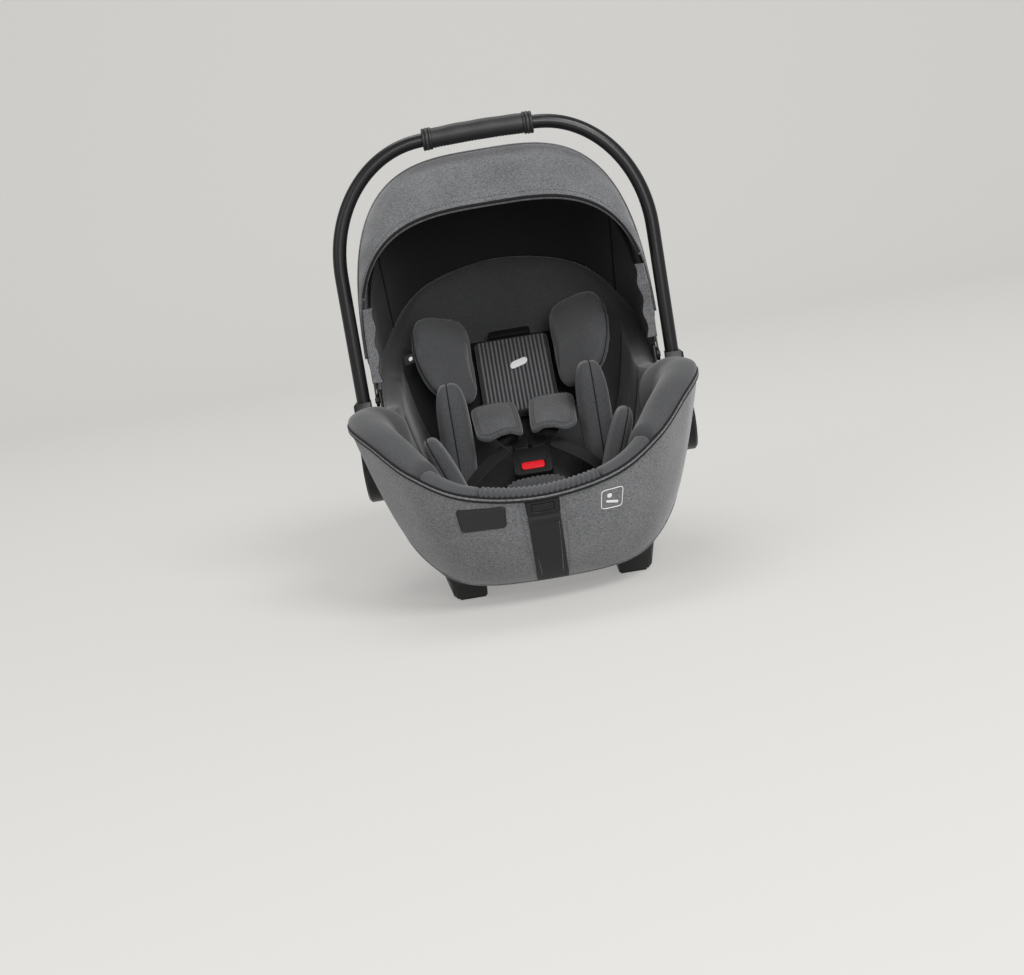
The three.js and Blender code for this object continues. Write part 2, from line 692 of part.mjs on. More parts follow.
// A flat spring-steel-like strip from eye to eye: over(s) is its centre line.
function makeBow(name, over, halfWidth) {
  const points = Array.from({ length: ARCH_STEPS + 1 }, (_, i) => over(i / ARCH_STEPS));
  const foot = (side) => V(side * halfWidth, CANOPY_Y, CANOPY_Z);
  const path = [foot(1), ...points, foot(-1)];
  const top = over(0.5).sub(V(0, CANOPY_Y, CANOPY_Z)).normalize();
  const strip = sweep(path, () => V(0, top.z, -top.y), () => rectangle(BOW_WIDTH, BOW_THICKNESS));
  const eye = (side) => {
    const x = side * halfWidth;
    return barX(BOW_WIDTH, x - BOW_THICKNESS / 2, x + BOW_THICKNESS / 2, CANOPY_Y, CANOPY_Z);
  };
  const through = SHELL_HALF_WIDTH + 30;
  const hole = barX(CANOPY_PIN_RADIUS + GAP, -through, through, CANOPY_Y, CANOPY_Z, 16);
  add(name, cut(join(strip, eye(1), eye(-1)), hole), MAT.shell);
}

const BOW_INSET = 2.6;
const MID_BOW_INSET = BOW_INSET + BOW_THICKNESS + GAP;
const MOUNT_INSET = MID_BOW_INSET + BOW_THICKNESS / 2 + 1.5;

function makeCanopyFrame() {
  const frontHalf = CANOPY_HALF_WIDTH - BOW_INSET;
  const front = (s) => onArch(s, CREST_TILT, CANOPY_REACH - BOW_INSET, frontHalf);
  makeBow("canopy_front_bow", front, frontHalf);
  const mid = (s) => hoodPoint(s, MID_BOW_SHARE, -MID_BOW_LIFT);
  makeBow("canopy_mid_bow", mid, CANOPY_HALF_WIDTH - MID_BOW_INSET);
  const face = CANOPY_HALF_WIDTH - MOUNT_INSET;
  const bottom = PIVOT_Z + HUB_RADIUS + 3;
  const plate = block(face - 3, face, CANOPY_Y - 13, CANOPY_Y + 13, bottom, CANOPY_Z + 13);
  const pin = barX(CANOPY_PIN_RADIUS, face - 1, CANOPY_HALF_WIDTH - GAP, CANOPY_Y, CANOPY_Z, 16);
  addPair("canopy_mount", cut(join(plate, pin), shellPlug(GAP)), MAT.shell);
}

// Visor: s runs over the arch, v from the crest (0) to the front edge (1).
const VISOR_TIP = 0.235; // share of the arch where the front edge's tips end
function visorPoint(s, v, lift) {
  const tip = lerp(CANOPY_START, VISOR_TIP, v);
  const angle = archAngle(lerp(tip, 1 - tip, s));
  const tilt = lerp(CREST_TILT - 0.6, VISOR_TILT, v);
  const reach = lerp(CANOPY_REACH, VISOR_REACH, v ** 1.25) + lift;
  return archPoint(angle, tilt, reach, CANOPY_HALF_WIDTH + lift);
}

// A closed sheet from a surface of (s, v) that takes the distance off it as a third value.
function fabricSheet(surface, across, down) {
  return loft(
    Array.from({ length: across + 1 }, (_, i) => {
      const s = i / across;
      const inner = Array.from({ length: down + 1 }, (_, j) => surface(s, j / down, 0));
      const outer = Array.from({ length: down + 1 }, (_, j) => surface(s, 1 - j / down, FABRIC));
      return [...inner, ...outer];
    }),
  );
}

// Hood: s runs over the arch from right to left, v from the crest (0) down to just above
// the shell's rim (1), which it meets from behind the hubs round the head end.
const HOOD_STATION = 7.35;
const HOOD_CLEARANCE = 5;
const HOOD_OVERHANG = 3;
function hoodPoint(s, v, lift) {
  const crest = onArch(s, CREST_TILT + 0.6, CANOPY_REACH + lift, CANOPY_HALF_WIDTH + lift);
  const t = lerp(STATION(HOOD_STATION), STATION(STATIONS - HOOD_STATION), s);
  const rim = rimCurve.getPoint(t);
  const outward = rim.clone().sub(cavityRim(t)).normalize();
  rim.addScaledVector(outward, HOOD_OVERHANG + lift).add(V(0, 0, HOOD_CLEARANCE));
  const bulge = HOOD_BULGE * Math.sin(Math.PI * v) * Math.sin(Math.PI * s) ** 0.8;
  return crest.lerp(rim, v).add(V(0, 0.35 * bulge, 0.94 * bulge));
}

function makeCanopyFabric() {
  add("canopy_visor", fabricSheet(visorPoint, ARCH_STEPS, 3), MAT.heather);
  add("canopy_hood", fabricSheet(hoodPoint, ARCH_STEPS, 5), MAT.heather);
}

// ---------------------------------------------------------------- headrest
const UP_BACK = V(0, Math.cos(rad(BACK_SLOPE)), Math.sin(rad(BACK_SLOPE)));
const OFF_BACK = V(0, -Math.sin(rad(BACK_SLOPE)), Math.cos(rad(BACK_SLOPE)));
// A point by its place on the headrest: across, up the back, and out of its front face.
const onHeadrest = (across, up, out) =>
  V(across, HEADREST_Y, HEADREST_Z).addScaledVector(UP_BACK, up).addScaledVector(OFF_BACK, out);

function headrestSlab(halfWidth, up0, up1, out0, out1, corner) {
  const shape = new THREE.Shape();
  shape.moveTo(-halfWidth, up0);
  shape.lineTo(halfWidth, up0);
  shape.lineTo(halfWidth, up1 - corner);
  shape.absarc(halfWidth - corner, up1 - corner, corner, 0, Math.PI / 2, false);
  shape.lineTo(-halfWidth + corner, up1);
  shape.absarc(-halfWidth + corner, up1 - corner, corner, Math.PI / 2, Math.PI, false);
  shape.closePath();
  return new THREE.ExtrudeGeometry(shape, {
    depth: out1 - out0,
    bevelEnabled: false,
    curveSegments: 5,
  })
    .applyMatrix4(new THREE.Matrix4().makeBasis(V(1, 0, 0), UP_BACK, OFF_BACK))
    .translate(...onHeadrest(0, 0, out0).toArray());
}

function makeHeadrest() {
  const padTop = HEADREST_LENGTH - 14;
  add("headrest_pad", headrestSlab(HEADREST_PAD_HALF, 0, padTop, -HEADREST_PAD, 0, 10), MAT.smooth);
  const coreOut = -HEADREST_PAD - GAP;
  const coreBack = coreOut - HEADREST_CORE;
  add(
    "headrest_core",
    headrestSlab(HEADREST_CORE_HALF, 12, HEADREST_LENGTH, coreBack, coreOut, 30),
    MAT.shell,
  );
  const turn = rad(WING_ANGLE);
  const wingUp = WING_LENGTH / 2 - WING_DROP;
  const wingAcross = WING_INNER + (WING_WIDTH * Math.cos(turn) + WING_THICKNESS * Math.sin(turn)) / 2;
  const wingOut = (WING_WIDTH * Math.sin(turn)) / 2 - HEADREST_PAD / 2 + WING_THICKNESS / 2;
  const facing = V(-Math.sin(turn), 0, 0).addScaledVector(OFF_BACK, Math.cos(turn));
  addPair(
    "headrest_wing",
    pillow(WING_LENGTH, WING_WIDTH, WING_THICKNESS, 2.8),
    MAT.smooth,
    (mesh) => aim(mesh, onHeadrest(wingAcross, wingUp, wingOut), UP_BACK, facing),
  );
  const handleUp = HEADREST_LENGTH + GAP;
  add(
    "headrest_release",
    headrestSlab(30, handleUp, handleUp + 12, coreBack, coreOut + 4, 5),
    MAT.shell,
  );
}

// ---------------------------------------------------------------- harness
const LAP_STATION = 5.2; // the lap straps leave the cover between hip and body bolsters
const strapOutline = (width) => () => rectangle(width, STRAP_THICKNESS);
const curveThrough = (points, steps) => new THREE.CatmullRomCurve3(points).getPoints(steps);

const BUCKLE_FACE = V(0, -Math.cos(rad(BUCKLE_TILT)), Math.sin(rad(BUCKLE_TILT)));
const BUCKLE_UP = V(0, Math.sin(rad(BUCKLE_TILT)), Math.cos(rad(BUCKLE_TILT)));
const onBuckle = (across, up, out) =>
  V(across, BUCKLE_Y, BUCKLE_Z).addScaledVector(BUCKLE_UP, up).addScaledVector(BUCKLE_FACE, out);

// A block with rounded corners in the buckle's own frame.
function buckleBlock(halfWidth, up0, up1, out0, out1, corner) {
  const shape = new THREE.Shape();
  shape.moveTo(-halfWidth + corner, up0);
  shape.lineTo(halfWidth - corner, up0);
  shape.quadraticCurveTo(halfWidth, up0, halfWidth, up0 + corner);
  shape.lineTo(halfWidth, up1 - corner);
  shape.quadraticCurveTo(halfWidth, up1, halfWidth - corner, up1);
  shape.lineTo(-halfWidth + corner, up1);
  shape.quadraticCurveTo(-halfWidth, up1, -halfWidth, up1 - corner);
  shape.lineTo(-halfWidth, up0 + corner);
  shape.quadraticCurveTo(-halfWidth, up0, -halfWidth + corner, up0);
  return new THREE.ExtrudeGeometry(shape, {
    depth: out1 - out0,
    bevelEnabled: false,
    curveSegments: 3,
  })
    .applyMatrix4(new THREE.Matrix4().makeBasis(V(1, 0, 0), BUCKLE_UP, BUCKLE_FACE))
    .translate(...onBuckle(0, 0, out0).toArray());
}

function makeBuckle() {
  const half = BUCKLE_DEPTH / 2;
  const body = buckleBlock(BUCKLE_WIDTH / 2, -BUCKLE_HEIGHT / 2, BUCKLE_HEIGHT / 2, -half, half, 7);
  const buttonHalf = 15;
  const buttonDown = -BUCKLE_HEIGHT / 2 + 8;
  const buttonUp = buttonDown + 12;
  const well = buckleBlock(
    buttonHalf + GAP, buttonDown - GAP, buttonUp + GAP, half - BUCKLE_BUTTON_TRAVEL - 6, half + 5, 4,
  );
  const tongueSlot = buckleBlock(23, BUCKLE_HEIGHT / 2 - 16, BUCKLE_HEIGHT, -2.4, 2.4, 1);
  add("buckle_body", cut(body, well, tongueSlot), MAT.shell);
  add(
    "buckle_button",
    buckleBlock(buttonHalf, buttonDown, buttonUp, half - 6 + GAP, half + 1.5, 4),
    MAT.red,
  );
}

const TONGUE_REACH = 12;
const tongueTop = BUCKLE_HEIGHT / 2 + TONGUE_REACH;

function makeTongues() {
  const blade = buckleBlock(9, BUCKLE_HEIGHT / 2 - 15, tongueTop, -1.4, 1.4, 2);
  const head = buckleBlock(11, tongueTop - 2, tongueTop + 12, -3, 3, 3);
  const geometry = join(blade, head).translate(11.8, 0, 0);
  addPair("buckle_tongue", geometry, MAT.shell);
}

function makeStraps() {
  const across = () => V(1, 0, 0);
  const width = STRAP_WIDTH - 8;
  const tongueEnd = tongueTop + 14;
  const slot = onHeadrest(40, 10, 3);
  const shoulder = curveThrough(
    [slot, V(40, 40, 202), V(38, 0, 189), V(30, -24, 179), onBuckle(13, tongueEnd, 0)],
    12,
  );
  addPair("shoulder_strap", sweep(shoulder, across, strapOutline(width)), MAT.webbing);
  const mould = coverMould();
  const anchor = offset(cavity, STATION(LAP_STATION), 0.62, 2);
  const lapEnd = onBuckle(32, tongueTop + 2, 0);
  const lap = curveThrough([anchor, anchor.clone().lerp(lapEnd, 0.5).add(V(0, 0, 8)), lapEnd], 8);
  const lapStrap = sweep(lap, () => V(0, 1, 0.6), strapOutline(width));
  addPair("lap_strap", cut(lapStrap, mould), MAT.webbing);
  const floor = offset(cavity, 0, 0.25, 2);
  const crotchEnd = onBuckle(0, -BUCKLE_HEIGHT / 2 - 1, 0);
  const crotch = curveThrough([floor, floor.clone().lerp(crotchEnd, 0.5).add(V(0, 3, 0)), crotchEnd], 6);
  const crotchStrap = sweep(crotch, across, strapOutline(STRAP_WIDTH));
  add("crotch_strap", cut(crotchStrap, mould), MAT.webbing);
}

// Where a pad's middle lies, and the way it lies: along from a to b, its face turned up.
function padBetween(mesh, a, b, facing) {
  aim(mesh, a.clone().lerp(b, 0.5), b.clone().sub(a), facing);
}

function makeHarnessPads() {
  const rise = SHOULDER_PAD_THICKNESS / 2 + STRAP_THICKNESS + GAP + 3;
  const top = V(40, 58, 203 + rise);
  const bottom = V(35, -50, 178 + rise);
  const facing = V(0, -0.25, 1);
  addPair(
    "shoulder_pad",
    pillow(SHOULDER_PAD_LENGTH, SHOULDER_PAD_WIDTH, SHOULDER_PAD_THICKNESS, 5),
    MAT.heather,
    (mesh) => padBetween(mesh, bottom, top, facing),
  );
  const pad = pillow(CROTCH_PAD_LENGTH, CROTCH_PAD_WIDTH, CROTCH_PAD_THICKNESS, 3);
  const crotchPad = add("crotch_pad", pad, MAT.smooth);
  padBetween(crotchPad, V(0, -132, 84), V(0, -96, 124), V(0, -1, 1));
}

// The cover's inside grown by the gap, with depth behind it, to trim what rests on it.
const coverMould = () =>
  loft([
    ...CAVITY_STEPS.map((u) => ring(cavity, u, -GAP)),
    ...CAVITY_STEPS.map((u) => ring(cavity, u, COVER_THICKNESS)).reverse(),
  ]);

// Upright cushions either side of the child, and lower ones that lean out along the thighs.
function makeBolsters() {
  const body = BODY_BOLSTER;
  addPair(
    "body_bolster",
    pillow(body.length, body.depth, body.thickness, 2.6),
    MAT.smooth,
    (mesh) => {
      const top = V(body.x, body.y, body.top);
      padBetween(mesh, top.clone().add(V(0, 0, -body.length)), top, V(1, 0, 0));
    },
  );
  const hip = HIP_BOLSTER;
  addPair(
    "hip_bolster",
    pillow(hip.length, hip.depth, hip.thickness, 2.6),
    MAT.smooth,
    (mesh) => padBetween(mesh, V(88, hip.y, 104), V(128, hip.y, 208), V(1, 0, -0.4)),
  );
}

// ---------------------------------------------------------------- strap adjuster, release grip
// A strip on the shell's wall, centred on the seat's middle line at the foot end (0) or the
// head end (0.5).
function wallStrip(middle, halfWidth, u0, u1, near, far, up) {
  const e = 1e-3;
  const pace = outerWall(middle + e, 1).distanceTo(outerWall(middle, 1)) / e;
  const t = halfWidth / pace;
  return sheetOn(outerWall, middle - t, middle + t, () => u0, () => u1, near, far, 2, up);
}

// A frame on the wall with a plate standing in its window.
function wallFrame(middle, halfWidth, u0, u1, border, depth) {
  const frame = wallStrip(middle, halfWidth, u0, u1, -1, GAP + depth, 1);
  const window = wallStrip(middle, halfWidth - border, u0 + BORDER_SHARE, u1 - BORDER_SHARE, -3, depth + 3, 1);
  return cut(frame, shellPlug(GAP), window);
}

function makeAdjuster() {
  const strap = wallStrip(0, STRAP_WIDTH / 2, SLOT_LOW + 0.02, ADJUSTER_LOW - 0.01, -1, GAP + STRAP_THICKNESS, 7);
  add("adjuster_strap", cut(strap, shellPlug(GAP)), MAT.webbing);
  const border = (ADJUSTER_WIDTH - LEVER_WIDTH) / 2 - GAP;
  add("adjuster_housing", wallFrame(0, ADJUSTER_WIDTH / 2, ADJUSTER_LOW, 0.98, border, 6), MAT.shell);
  const [low, high] = [ADJUSTER_LOW + BORDER_SHARE + 0.005, 0.98 - BORDER_SHARE - 0.005];
  add("adjuster_lever", wallStrip(0, LEVER_WIDTH / 2, low, high, 4, 6, 1), MAT.shell);
}

function makeReleaseGrip() {
  const border = 9;
  const [low, high] = [GRIP_LOW, GRIP_HIGH];
  const housing = wallFrame(0.5, RELEASE_WIDTH / 2, low, high, border, 9);
  add("release_housing", housing, MAT.shell);
  const grip = wallStrip(
    0.5, RELEASE_WIDTH / 2 - border - 2, low + BORDER_SHARE + 0.005, high - BORDER_SHARE - 0.045, 2, 12, 1,
  );
  add("release_grip", grip, MAT.shell);
}

// ---------------------------------------------------------------- put together
makeShell();
makeFoam();
makeSeatCover();
makeFrontSkirt();
makeRimPads();
makeRunners();
makeLockBars();
makeFootPads();
makeHubs();
makeHandleEnds();
makeHandle();
makeCanopyFrame();
makeCanopyFabric();
makeHeadrest();
makeBuckle();
makeTongues();
makeStraps();
makeHarnessPads();
makeBolsters();
makeAdjuster();
makeReleaseGrip();

export default seat;
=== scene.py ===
import math

import bmesh
import bpy
import numpy as np
from mathutils import Matrix, Vector


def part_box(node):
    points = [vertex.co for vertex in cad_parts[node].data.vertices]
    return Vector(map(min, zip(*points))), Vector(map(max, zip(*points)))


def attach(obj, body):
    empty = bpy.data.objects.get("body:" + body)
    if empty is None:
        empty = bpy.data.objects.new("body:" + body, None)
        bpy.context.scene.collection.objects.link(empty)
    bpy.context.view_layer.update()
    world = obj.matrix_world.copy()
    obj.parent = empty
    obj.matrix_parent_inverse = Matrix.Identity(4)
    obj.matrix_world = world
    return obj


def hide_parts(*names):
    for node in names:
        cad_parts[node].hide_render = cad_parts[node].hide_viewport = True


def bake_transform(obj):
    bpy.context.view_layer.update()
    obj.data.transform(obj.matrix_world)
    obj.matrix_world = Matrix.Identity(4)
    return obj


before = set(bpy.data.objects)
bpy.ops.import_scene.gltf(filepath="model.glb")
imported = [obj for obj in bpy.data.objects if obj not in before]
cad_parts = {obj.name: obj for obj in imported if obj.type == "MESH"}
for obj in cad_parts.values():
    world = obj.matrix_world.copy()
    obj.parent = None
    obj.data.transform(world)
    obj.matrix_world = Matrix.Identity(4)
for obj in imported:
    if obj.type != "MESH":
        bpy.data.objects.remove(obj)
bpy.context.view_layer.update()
scene = bpy.context.scene
scene.view_settings.view_transform = "Standard"


# ------------------------------------------------------------------ camera
# The seat is seen from in front of its foot end, a little above the rim. The camera is
# rolled to one side, so the whole seat leans.
EYE = Vector((-0.0318, -2.5711, 0.5146))
LOOK_DOWN = math.radians(9.0)
ROLL = math.radians(9.5)
LENS = 68.78
level_right = Vector((1, 0, 0))
level_up = Vector((0, math.sin(LOOK_DOWN), math.cos(LOOK_DOWN)))
backwards = Vector((0, -math.cos(LOOK_DOWN), math.sin(LOOK_DOWN)))
camera_up = math.cos(ROLL) * level_up + math.sin(ROLL) * level_right
camera_right = math.cos(ROLL) * level_right - math.sin(ROLL) * level_up
camera = bpy.data.objects.new("camera", bpy.data.cameras.new("camera"))
camera.data.lens = LENS
camera.data.clip_end = 50
turned = Matrix((camera_right, camera_up, backwards)).transposed().to_4x4()
camera.matrix_world = Matrix.Translation(EYE) @ turned
scene.collection.objects.link(camera)
scene.camera = camera


# ------------------------------------------------------------------ studio
# A pale floor that sweeps up into a backdrop, and four large soft lights: the key from
# the upper right, a weak fill from the left, one from in front, and one from behind and above.
FLOOR_HALF = 30.0
SWEEP_START, SWEEP_RADIUS, SWEEP_STEPS, WALL_HEIGHT = 3.2, 2.0, 24, 6.0
PAPER, PAPER_GLOW, PAPER_GLOW_STRENGTH = (0.36, 0.356, 0.347), (0.80, 0.79, 0.765, 1), 0.37
AIR, AIR_STRENGTH = (0.93, 0.94, 0.95, 1), 0.42
# Each light's name, width in metres, watts, place, and the height that it aims at.
LIGHTS = [
    ("key", 2.6, 250, (2.6, -4.4, 4.4), 0.25),
    ("fill", 4.0, 60, (-4.6, -3.6, 2.6), 0.25),
    ("front", 2.0, 115, (0.7, -5.0, 1.5), 0.25),
    ("top", 3.0, 70, (-0.4, 1.6, 4.6), 0.3),
]


def object_of(name, mesh, material=None):
    made = bpy.data.objects.new(name, mesh)
    scene.collection.objects.link(made)
    if material:
        mesh.materials.append(material)
    return made


def grid(name, points, around=False, material=None, smooth=True):
    """A mesh through rows of points. Around joins each row's end to its start."""
    points = np.asarray(points, float)
    rows, columns = points.shape[:2]
    last = columns if around else columns - 1
    faces = [
        (i * columns + j, i * columns + (j + 1) % columns,
         (i + 1) * columns + (j + 1) % columns, (i + 1) * columns + j)
        for i in range(rows - 1) for j in range(last)
    ]
    mesh = bpy.data.meshes.new(name)
    mesh.from_pydata(points.reshape(-1, 3).tolist(), [], faces)
    if smooth:
        mesh.polygons.foreach_set("use_smooth", [True] * len(faces))
    return object_of(name, mesh, material)


def add_node(tree, kind, settings=None, **inputs):
    """A shader or geometry node. An input is given a value, or linked when it is a socket."""
    made = tree.nodes.new(kind)
    for key, value in (settings or {}).items():
        setattr(made, key, value)
    for key, value in inputs.items():
        socket = made.inputs[int(key[2:]) if key.startswith("at") else key.replace("_", " ")]
        if isinstance(value, bpy.types.NodeSocket):
            tree.links.new(value, socket)
        else:
            socket.default_value = value
    return made


def plain_material(name, color, roughness, **sockets):
    material = bpy.data.materials.new(name)
    material.use_nodes = True
    shader = material.node_tree.nodes["Principled BSDF"]
    shader.inputs["Base Color"].default_value = (*color, 1)
    shader.inputs["Roughness"].default_value = roughness
    for key, value in sockets.items():
        shader.inputs[key.replace("_", " ")].default_value = value
    return material


sweep = [(-FLOOR_HALF, 0.0), (SWEEP_START, 0.0)]
for step in range(1, SWEEP_STEPS + 1):
    angle = math.pi / 2 * step / SWEEP_STEPS
    sweep.append((SWEEP_START + SWEEP_RADIUS * math.sin(angle), SWEEP_RADIUS * (1 - math.cos(angle))))
sweep.append((SWEEP_START + SWEEP_RADIUS, WALL_HEIGHT))
paper = plain_material("pale_paper", PAPER, 0.9, Specular_IOR_Level=0.0, Emission_Color=PAPER_GLOW,
                       Emission_Strength=PAPER_GLOW_STRENGTH)
floor_rows = [[(x, y, z) for y, z in sweep] for x in (FLOOR_HALF, -FLOOR_HALF)]
grid("backdrop", floor_rows, material=paper)
for name, width, watts, place, aim in LIGHTS:
    light = bpy.data.lights.new(name, "AREA")
    light.shape, light.size, light.energy = "DISK", width, watts
    lamp = object_of(name, light)
    lamp.location = place
    lamp.rotation_euler = (Vector((0, 0, aim)) - Vector(place)).to_track_quat("-Z", "Y").to_euler()
world = bpy.data.worlds.new("studio_air")
world.use_nodes = True
world.node_tree.nodes["Background"].inputs["Color"].default_value = AIR
world.node_tree.nodes["Background"].inputs["Strength"].default_value = AIR_STRENGTH
scene.world = world


# ------------------------------------------------------------------ moulded shell
# One thick polypropylene moulding: a bucket with a flat belly and a rolled lip round its
# rim. Its satin black skin has a fine spark-eroded grain. Everything else hangs on it.
shell_low, shell_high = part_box("outer_shell")
LIP_REACH = 0.0031
HALF_WIDTH = shell_high.x - LIP_REACH
FRONT_RIM, SIDE_RIM, HEAD_RIM = 0.142, 0.238, 0.392
BASE_HALF_WIDTH, BASE_FRONT, BASE_BACK = 0.119, -0.218, 0.118
SHELL_WALL = 0.0035
RIM_BAND = 0.024
# The rim from the middle of the foot end round one side to the middle of the head end:
# share of the half width, share of the half length, height (0 foot, 1 side, 2 head).
RIM_SHAPE = [
    (0, -1, 0), (0.41, -0.96, 0.12), (0.685, -0.868, 0.44), (0.88, -0.7, 0.8),
    (1, -0.49, 0.97), (1, -0.32, 1), (0.885, -0.16, 1), (0.845, 0.06, 1),
    (0.85, 0.36, 1.14), (0.81, 0.66, 1.43), (0.56, 0.9, 1.84), (0, 1, 2),
]
BASE_SHAPE = [
    (0, -1), (0.44, -0.976), (0.71, -0.92), (0.875, -0.81), (0.96, -0.625), (0.99, -0.39),
    (1, -0.09), (1, 0.24), (0.975, 0.56), (0.875, 0.82), (0.52, 0.965), (0, 1),
]
STATIONS = 2 * (len(RIM_SHAPE) - 1)
COLUMNS = 8 * STATIONS


def lerp(a, b, share):
    return a + (b - a) * share


def spline(points, closed=False):
    """A smooth curve through points, as a function of a share from 0 to 1."""
    points = np.asarray(points, float)
    count = len(points) if closed else len(points) - 1

    def at(share):
        place = (np.asarray(share, float) % 1 if closed else np.clip(share, 0, 1)) * count
        i = np.floor(place).astype(int)
        if not closed:
            i = np.minimum(i, count - 1)
        w = (place - i)[..., None]
        p0, p1, p2, p3 = (
            points[(i + k) % count if closed else np.clip(i + k, 0, count)] for k in (-1, 0, 1, 2)
        )
        m1, m2 = (p2 - p0) / 2, (p3 - p1) / 2
        return ((2 * w**3 - 3 * w**2 + 1) * p1 + (w**3 - 2 * w**2 + w) * m1
                + (3 * w**2 - 2 * w**3) * p2 + (w**3 - w**2) * m2)

    return at


def both_sides(half):
    return half + [(-p[0], *p[1:]) for p in half[-2:0:-1]]


def rim_height(share):
    return lerp(FRONT_RIM, SIDE_RIM, share) if share <= 1 else lerp(SIDE_RIM, HEAD_RIM, share - 1)


rim_at = spline(both_sides([
    (x * HALF_WIDTH, lerp(shell_low.y, shell_high.y, (y + 1) / 2), rim_height(z))
    for x, y, z in RIM_SHAPE
]), closed=True)
base_at = spline(both_sides([
    (x * BASE_HALF_WIDTH, lerp(BASE_FRONT, BASE_BACK, (y + 1) / 2), shell_low.z) for x, y in BASE_SHAPE
]), closed=True)


def headness(t):
    """1 at the head end, 0 at the sides and the foot end."""
    return np.maximum(0, -np.cos(2 * np.pi * np.asarray(t))) ** 2


def outer_wall(t, u):
    """Outside of the shell: t runs round it, u from the belly's edge (0) to the rim (1)."""
    t, u = np.broadcast_arrays(t, u)
    rim, base = rim_at(t), base_at(t)
    out = u ** lerp(0.6, 0.72, headness(t))
    rise = u ** lerp(1.15, 1, headness(t))
    return np.stack([lerp(base[..., 0], rim[..., 0], out), lerp(base[..., 1], rim[..., 1], out),
                     lerp(base[..., 2], rim[..., 2], rise)], -1)


def lifted(surface, t, u, distance):
    """A point moved off a surface along its normal, away from the seat's inside."""
    t, u, distance = np.broadcast_arrays(t, u, distance)
    e = 1e-3
    along = surface(t + e, u) - surface(t - e, u)
    rise = surface(t, np.minimum(u + e, 1)) - surface(t, np.maximum(u - e, 0))
    normal = np.cross(along, rise)
    normal /= np.linalg.norm(normal, axis=-1, keepdims=True)
    return surface(t, u) + normal * distance[..., None]


def outward_at(t):
    """Level direction away from the seat's middle, square to the rim."""
    e = 1e-3
    along = rim_at(t + e) - rim_at(t - e)
    out = np.stack([along[..., 1], -along[..., 0], np.zeros_like(along[..., 0])], -1)
    return out / np.linalg.norm(out, axis=-1, keepdims=True)


BUM_Y, BUM_Z = -0.015, 0.062
BACK_STRAIGHT, FOOT_STRAIGHT, SIDE_STRAIGHT = 0.82, 0.22, 0.1
BACK_CORNER, SIDE_CORNER = 14, 5


def cavity(t, u):
    """Inside of the seat: t runs round it, u from its lowest point (0) to the rim (1)."""
    t, u = np.broadcast_arrays(t, u)
    rim = rim_at(t) - RIM_BAND * outward_at(t)
    towards = (rim[..., 1] - BUM_Y) / np.hypot(rim[..., 0], rim[..., 1] - BUM_Y)
    straight = np.where(towards > 0, lerp(SIDE_STRAIGHT, BACK_STRAIGHT, towards**2),
                        lerp(SIDE_STRAIGHT, FOOT_STRAIGHT, -towards))
    corner = np.where(towards > 0, lerp(SIDE_CORNER, BACK_CORNER, towards**2), SIDE_CORNER)
    share = straight * u + (1 - straight) * u**corner
    return np.stack([rim[..., 0] * u, lerp(BUM_Y, rim[..., 1], u), lerp(BUM_Z, rim[..., 2], share)],
                    -1)


def edited(piece, change):
    """Runs a change over a piece's mesh in edit form."""
    made = bmesh.new()
    made.from_mesh(piece.data)
    change(made)
    made.to_mesh(piece.data)
    made.free()
    return piece


def close_and_face_out(piece):
    """Merges doubles, caps open ends, and turns every face outwards."""
    def change(made):
        bmesh.ops.remove_doubles(made, verts=made.verts, dist=1e-6)
        bmesh.ops.holes_fill(made, edges=[e for e in made.edges if e.is_boundary], sides=0)
        bmesh.ops.recalc_face_normals(made, faces=made.faces)
    return edited(piece, change)


def crease(piece, degrees):
    piece.data.set_sharp_from_angle(angle=math.radians(degrees))
    return piece


def finish_piece(piece, body, slot, *nodes):
    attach(piece, body)
    if nodes:
        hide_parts(*nodes)
    return piece


def to_shader(material, **links):
    shader = material.node_tree.nodes["Principled BSDF"]
    for key, output in links.items():
        material.node_tree.links.new(output, shader.inputs[key.replace("_", " ")])


def add_bump(material, height, strength, depth, invert=False):
    bump = add_node(material.node_tree, "ShaderNodeBump", {"invert": invert}, Height=height,
                    Strength=strength, Distance=depth)
    to_shader(material, Normal=bump.outputs["Normal"])


def vary_shine(material, pattern, smoothest, roughest):
    shine = add_node(material.node_tree, "ShaderNodeMapRange", Value=pattern, To_Min=smoothest,
                     To_Max=roughest)
    to_shader(material, Roughness=shine.outputs["Result"])


def moulded_plastic(name, color, roughness, grain=2600, depth=0.00006, coat=0.0):
    """Injection-moulded plastic: fine grain in the skin and faint mottling in its shine."""
    material = plain_material(name, color, roughness, Specular_IOR_Level=0.32, Coat_Weight=coat,
                              Coat_Roughness=0.25)
    tree = material.node_tree
    place = add_node(tree, "ShaderNodeTexCoord").outputs["Object"]
    cells = add_node(tree, "ShaderNodeTexVoronoi", Vector=place, Scale=grain)
    cloud = add_node(tree, "ShaderNodeTexNoise", Vector=place, Scale=38.0, Detail=4.0)
    vary_shine(material, cloud.outputs["Fac"], roughness - 0.06, roughness + 0.09)
    add_bump(material, cells.outputs["Distance"], 0.35, depth)
    return material


shell_plastic = moulded_plastic("shell_plastic", (0.0085, 0.0086, 0.0090), 0.5)
LIP, LIP_SHARE = 0.0014, 0.02
GROOVE_AT, GROOVE_SHARE, GROOVE_DEPTH = 0.56, 0.008, 0.0014
around = np.arange(COLUMNS) / COLUMNS
up_wall = np.concatenate([np.linspace(0, 0.1, 7) ** 1.2, np.linspace(0.14, 0.94, 34),
                          np.linspace(0.95, 1, 8)])


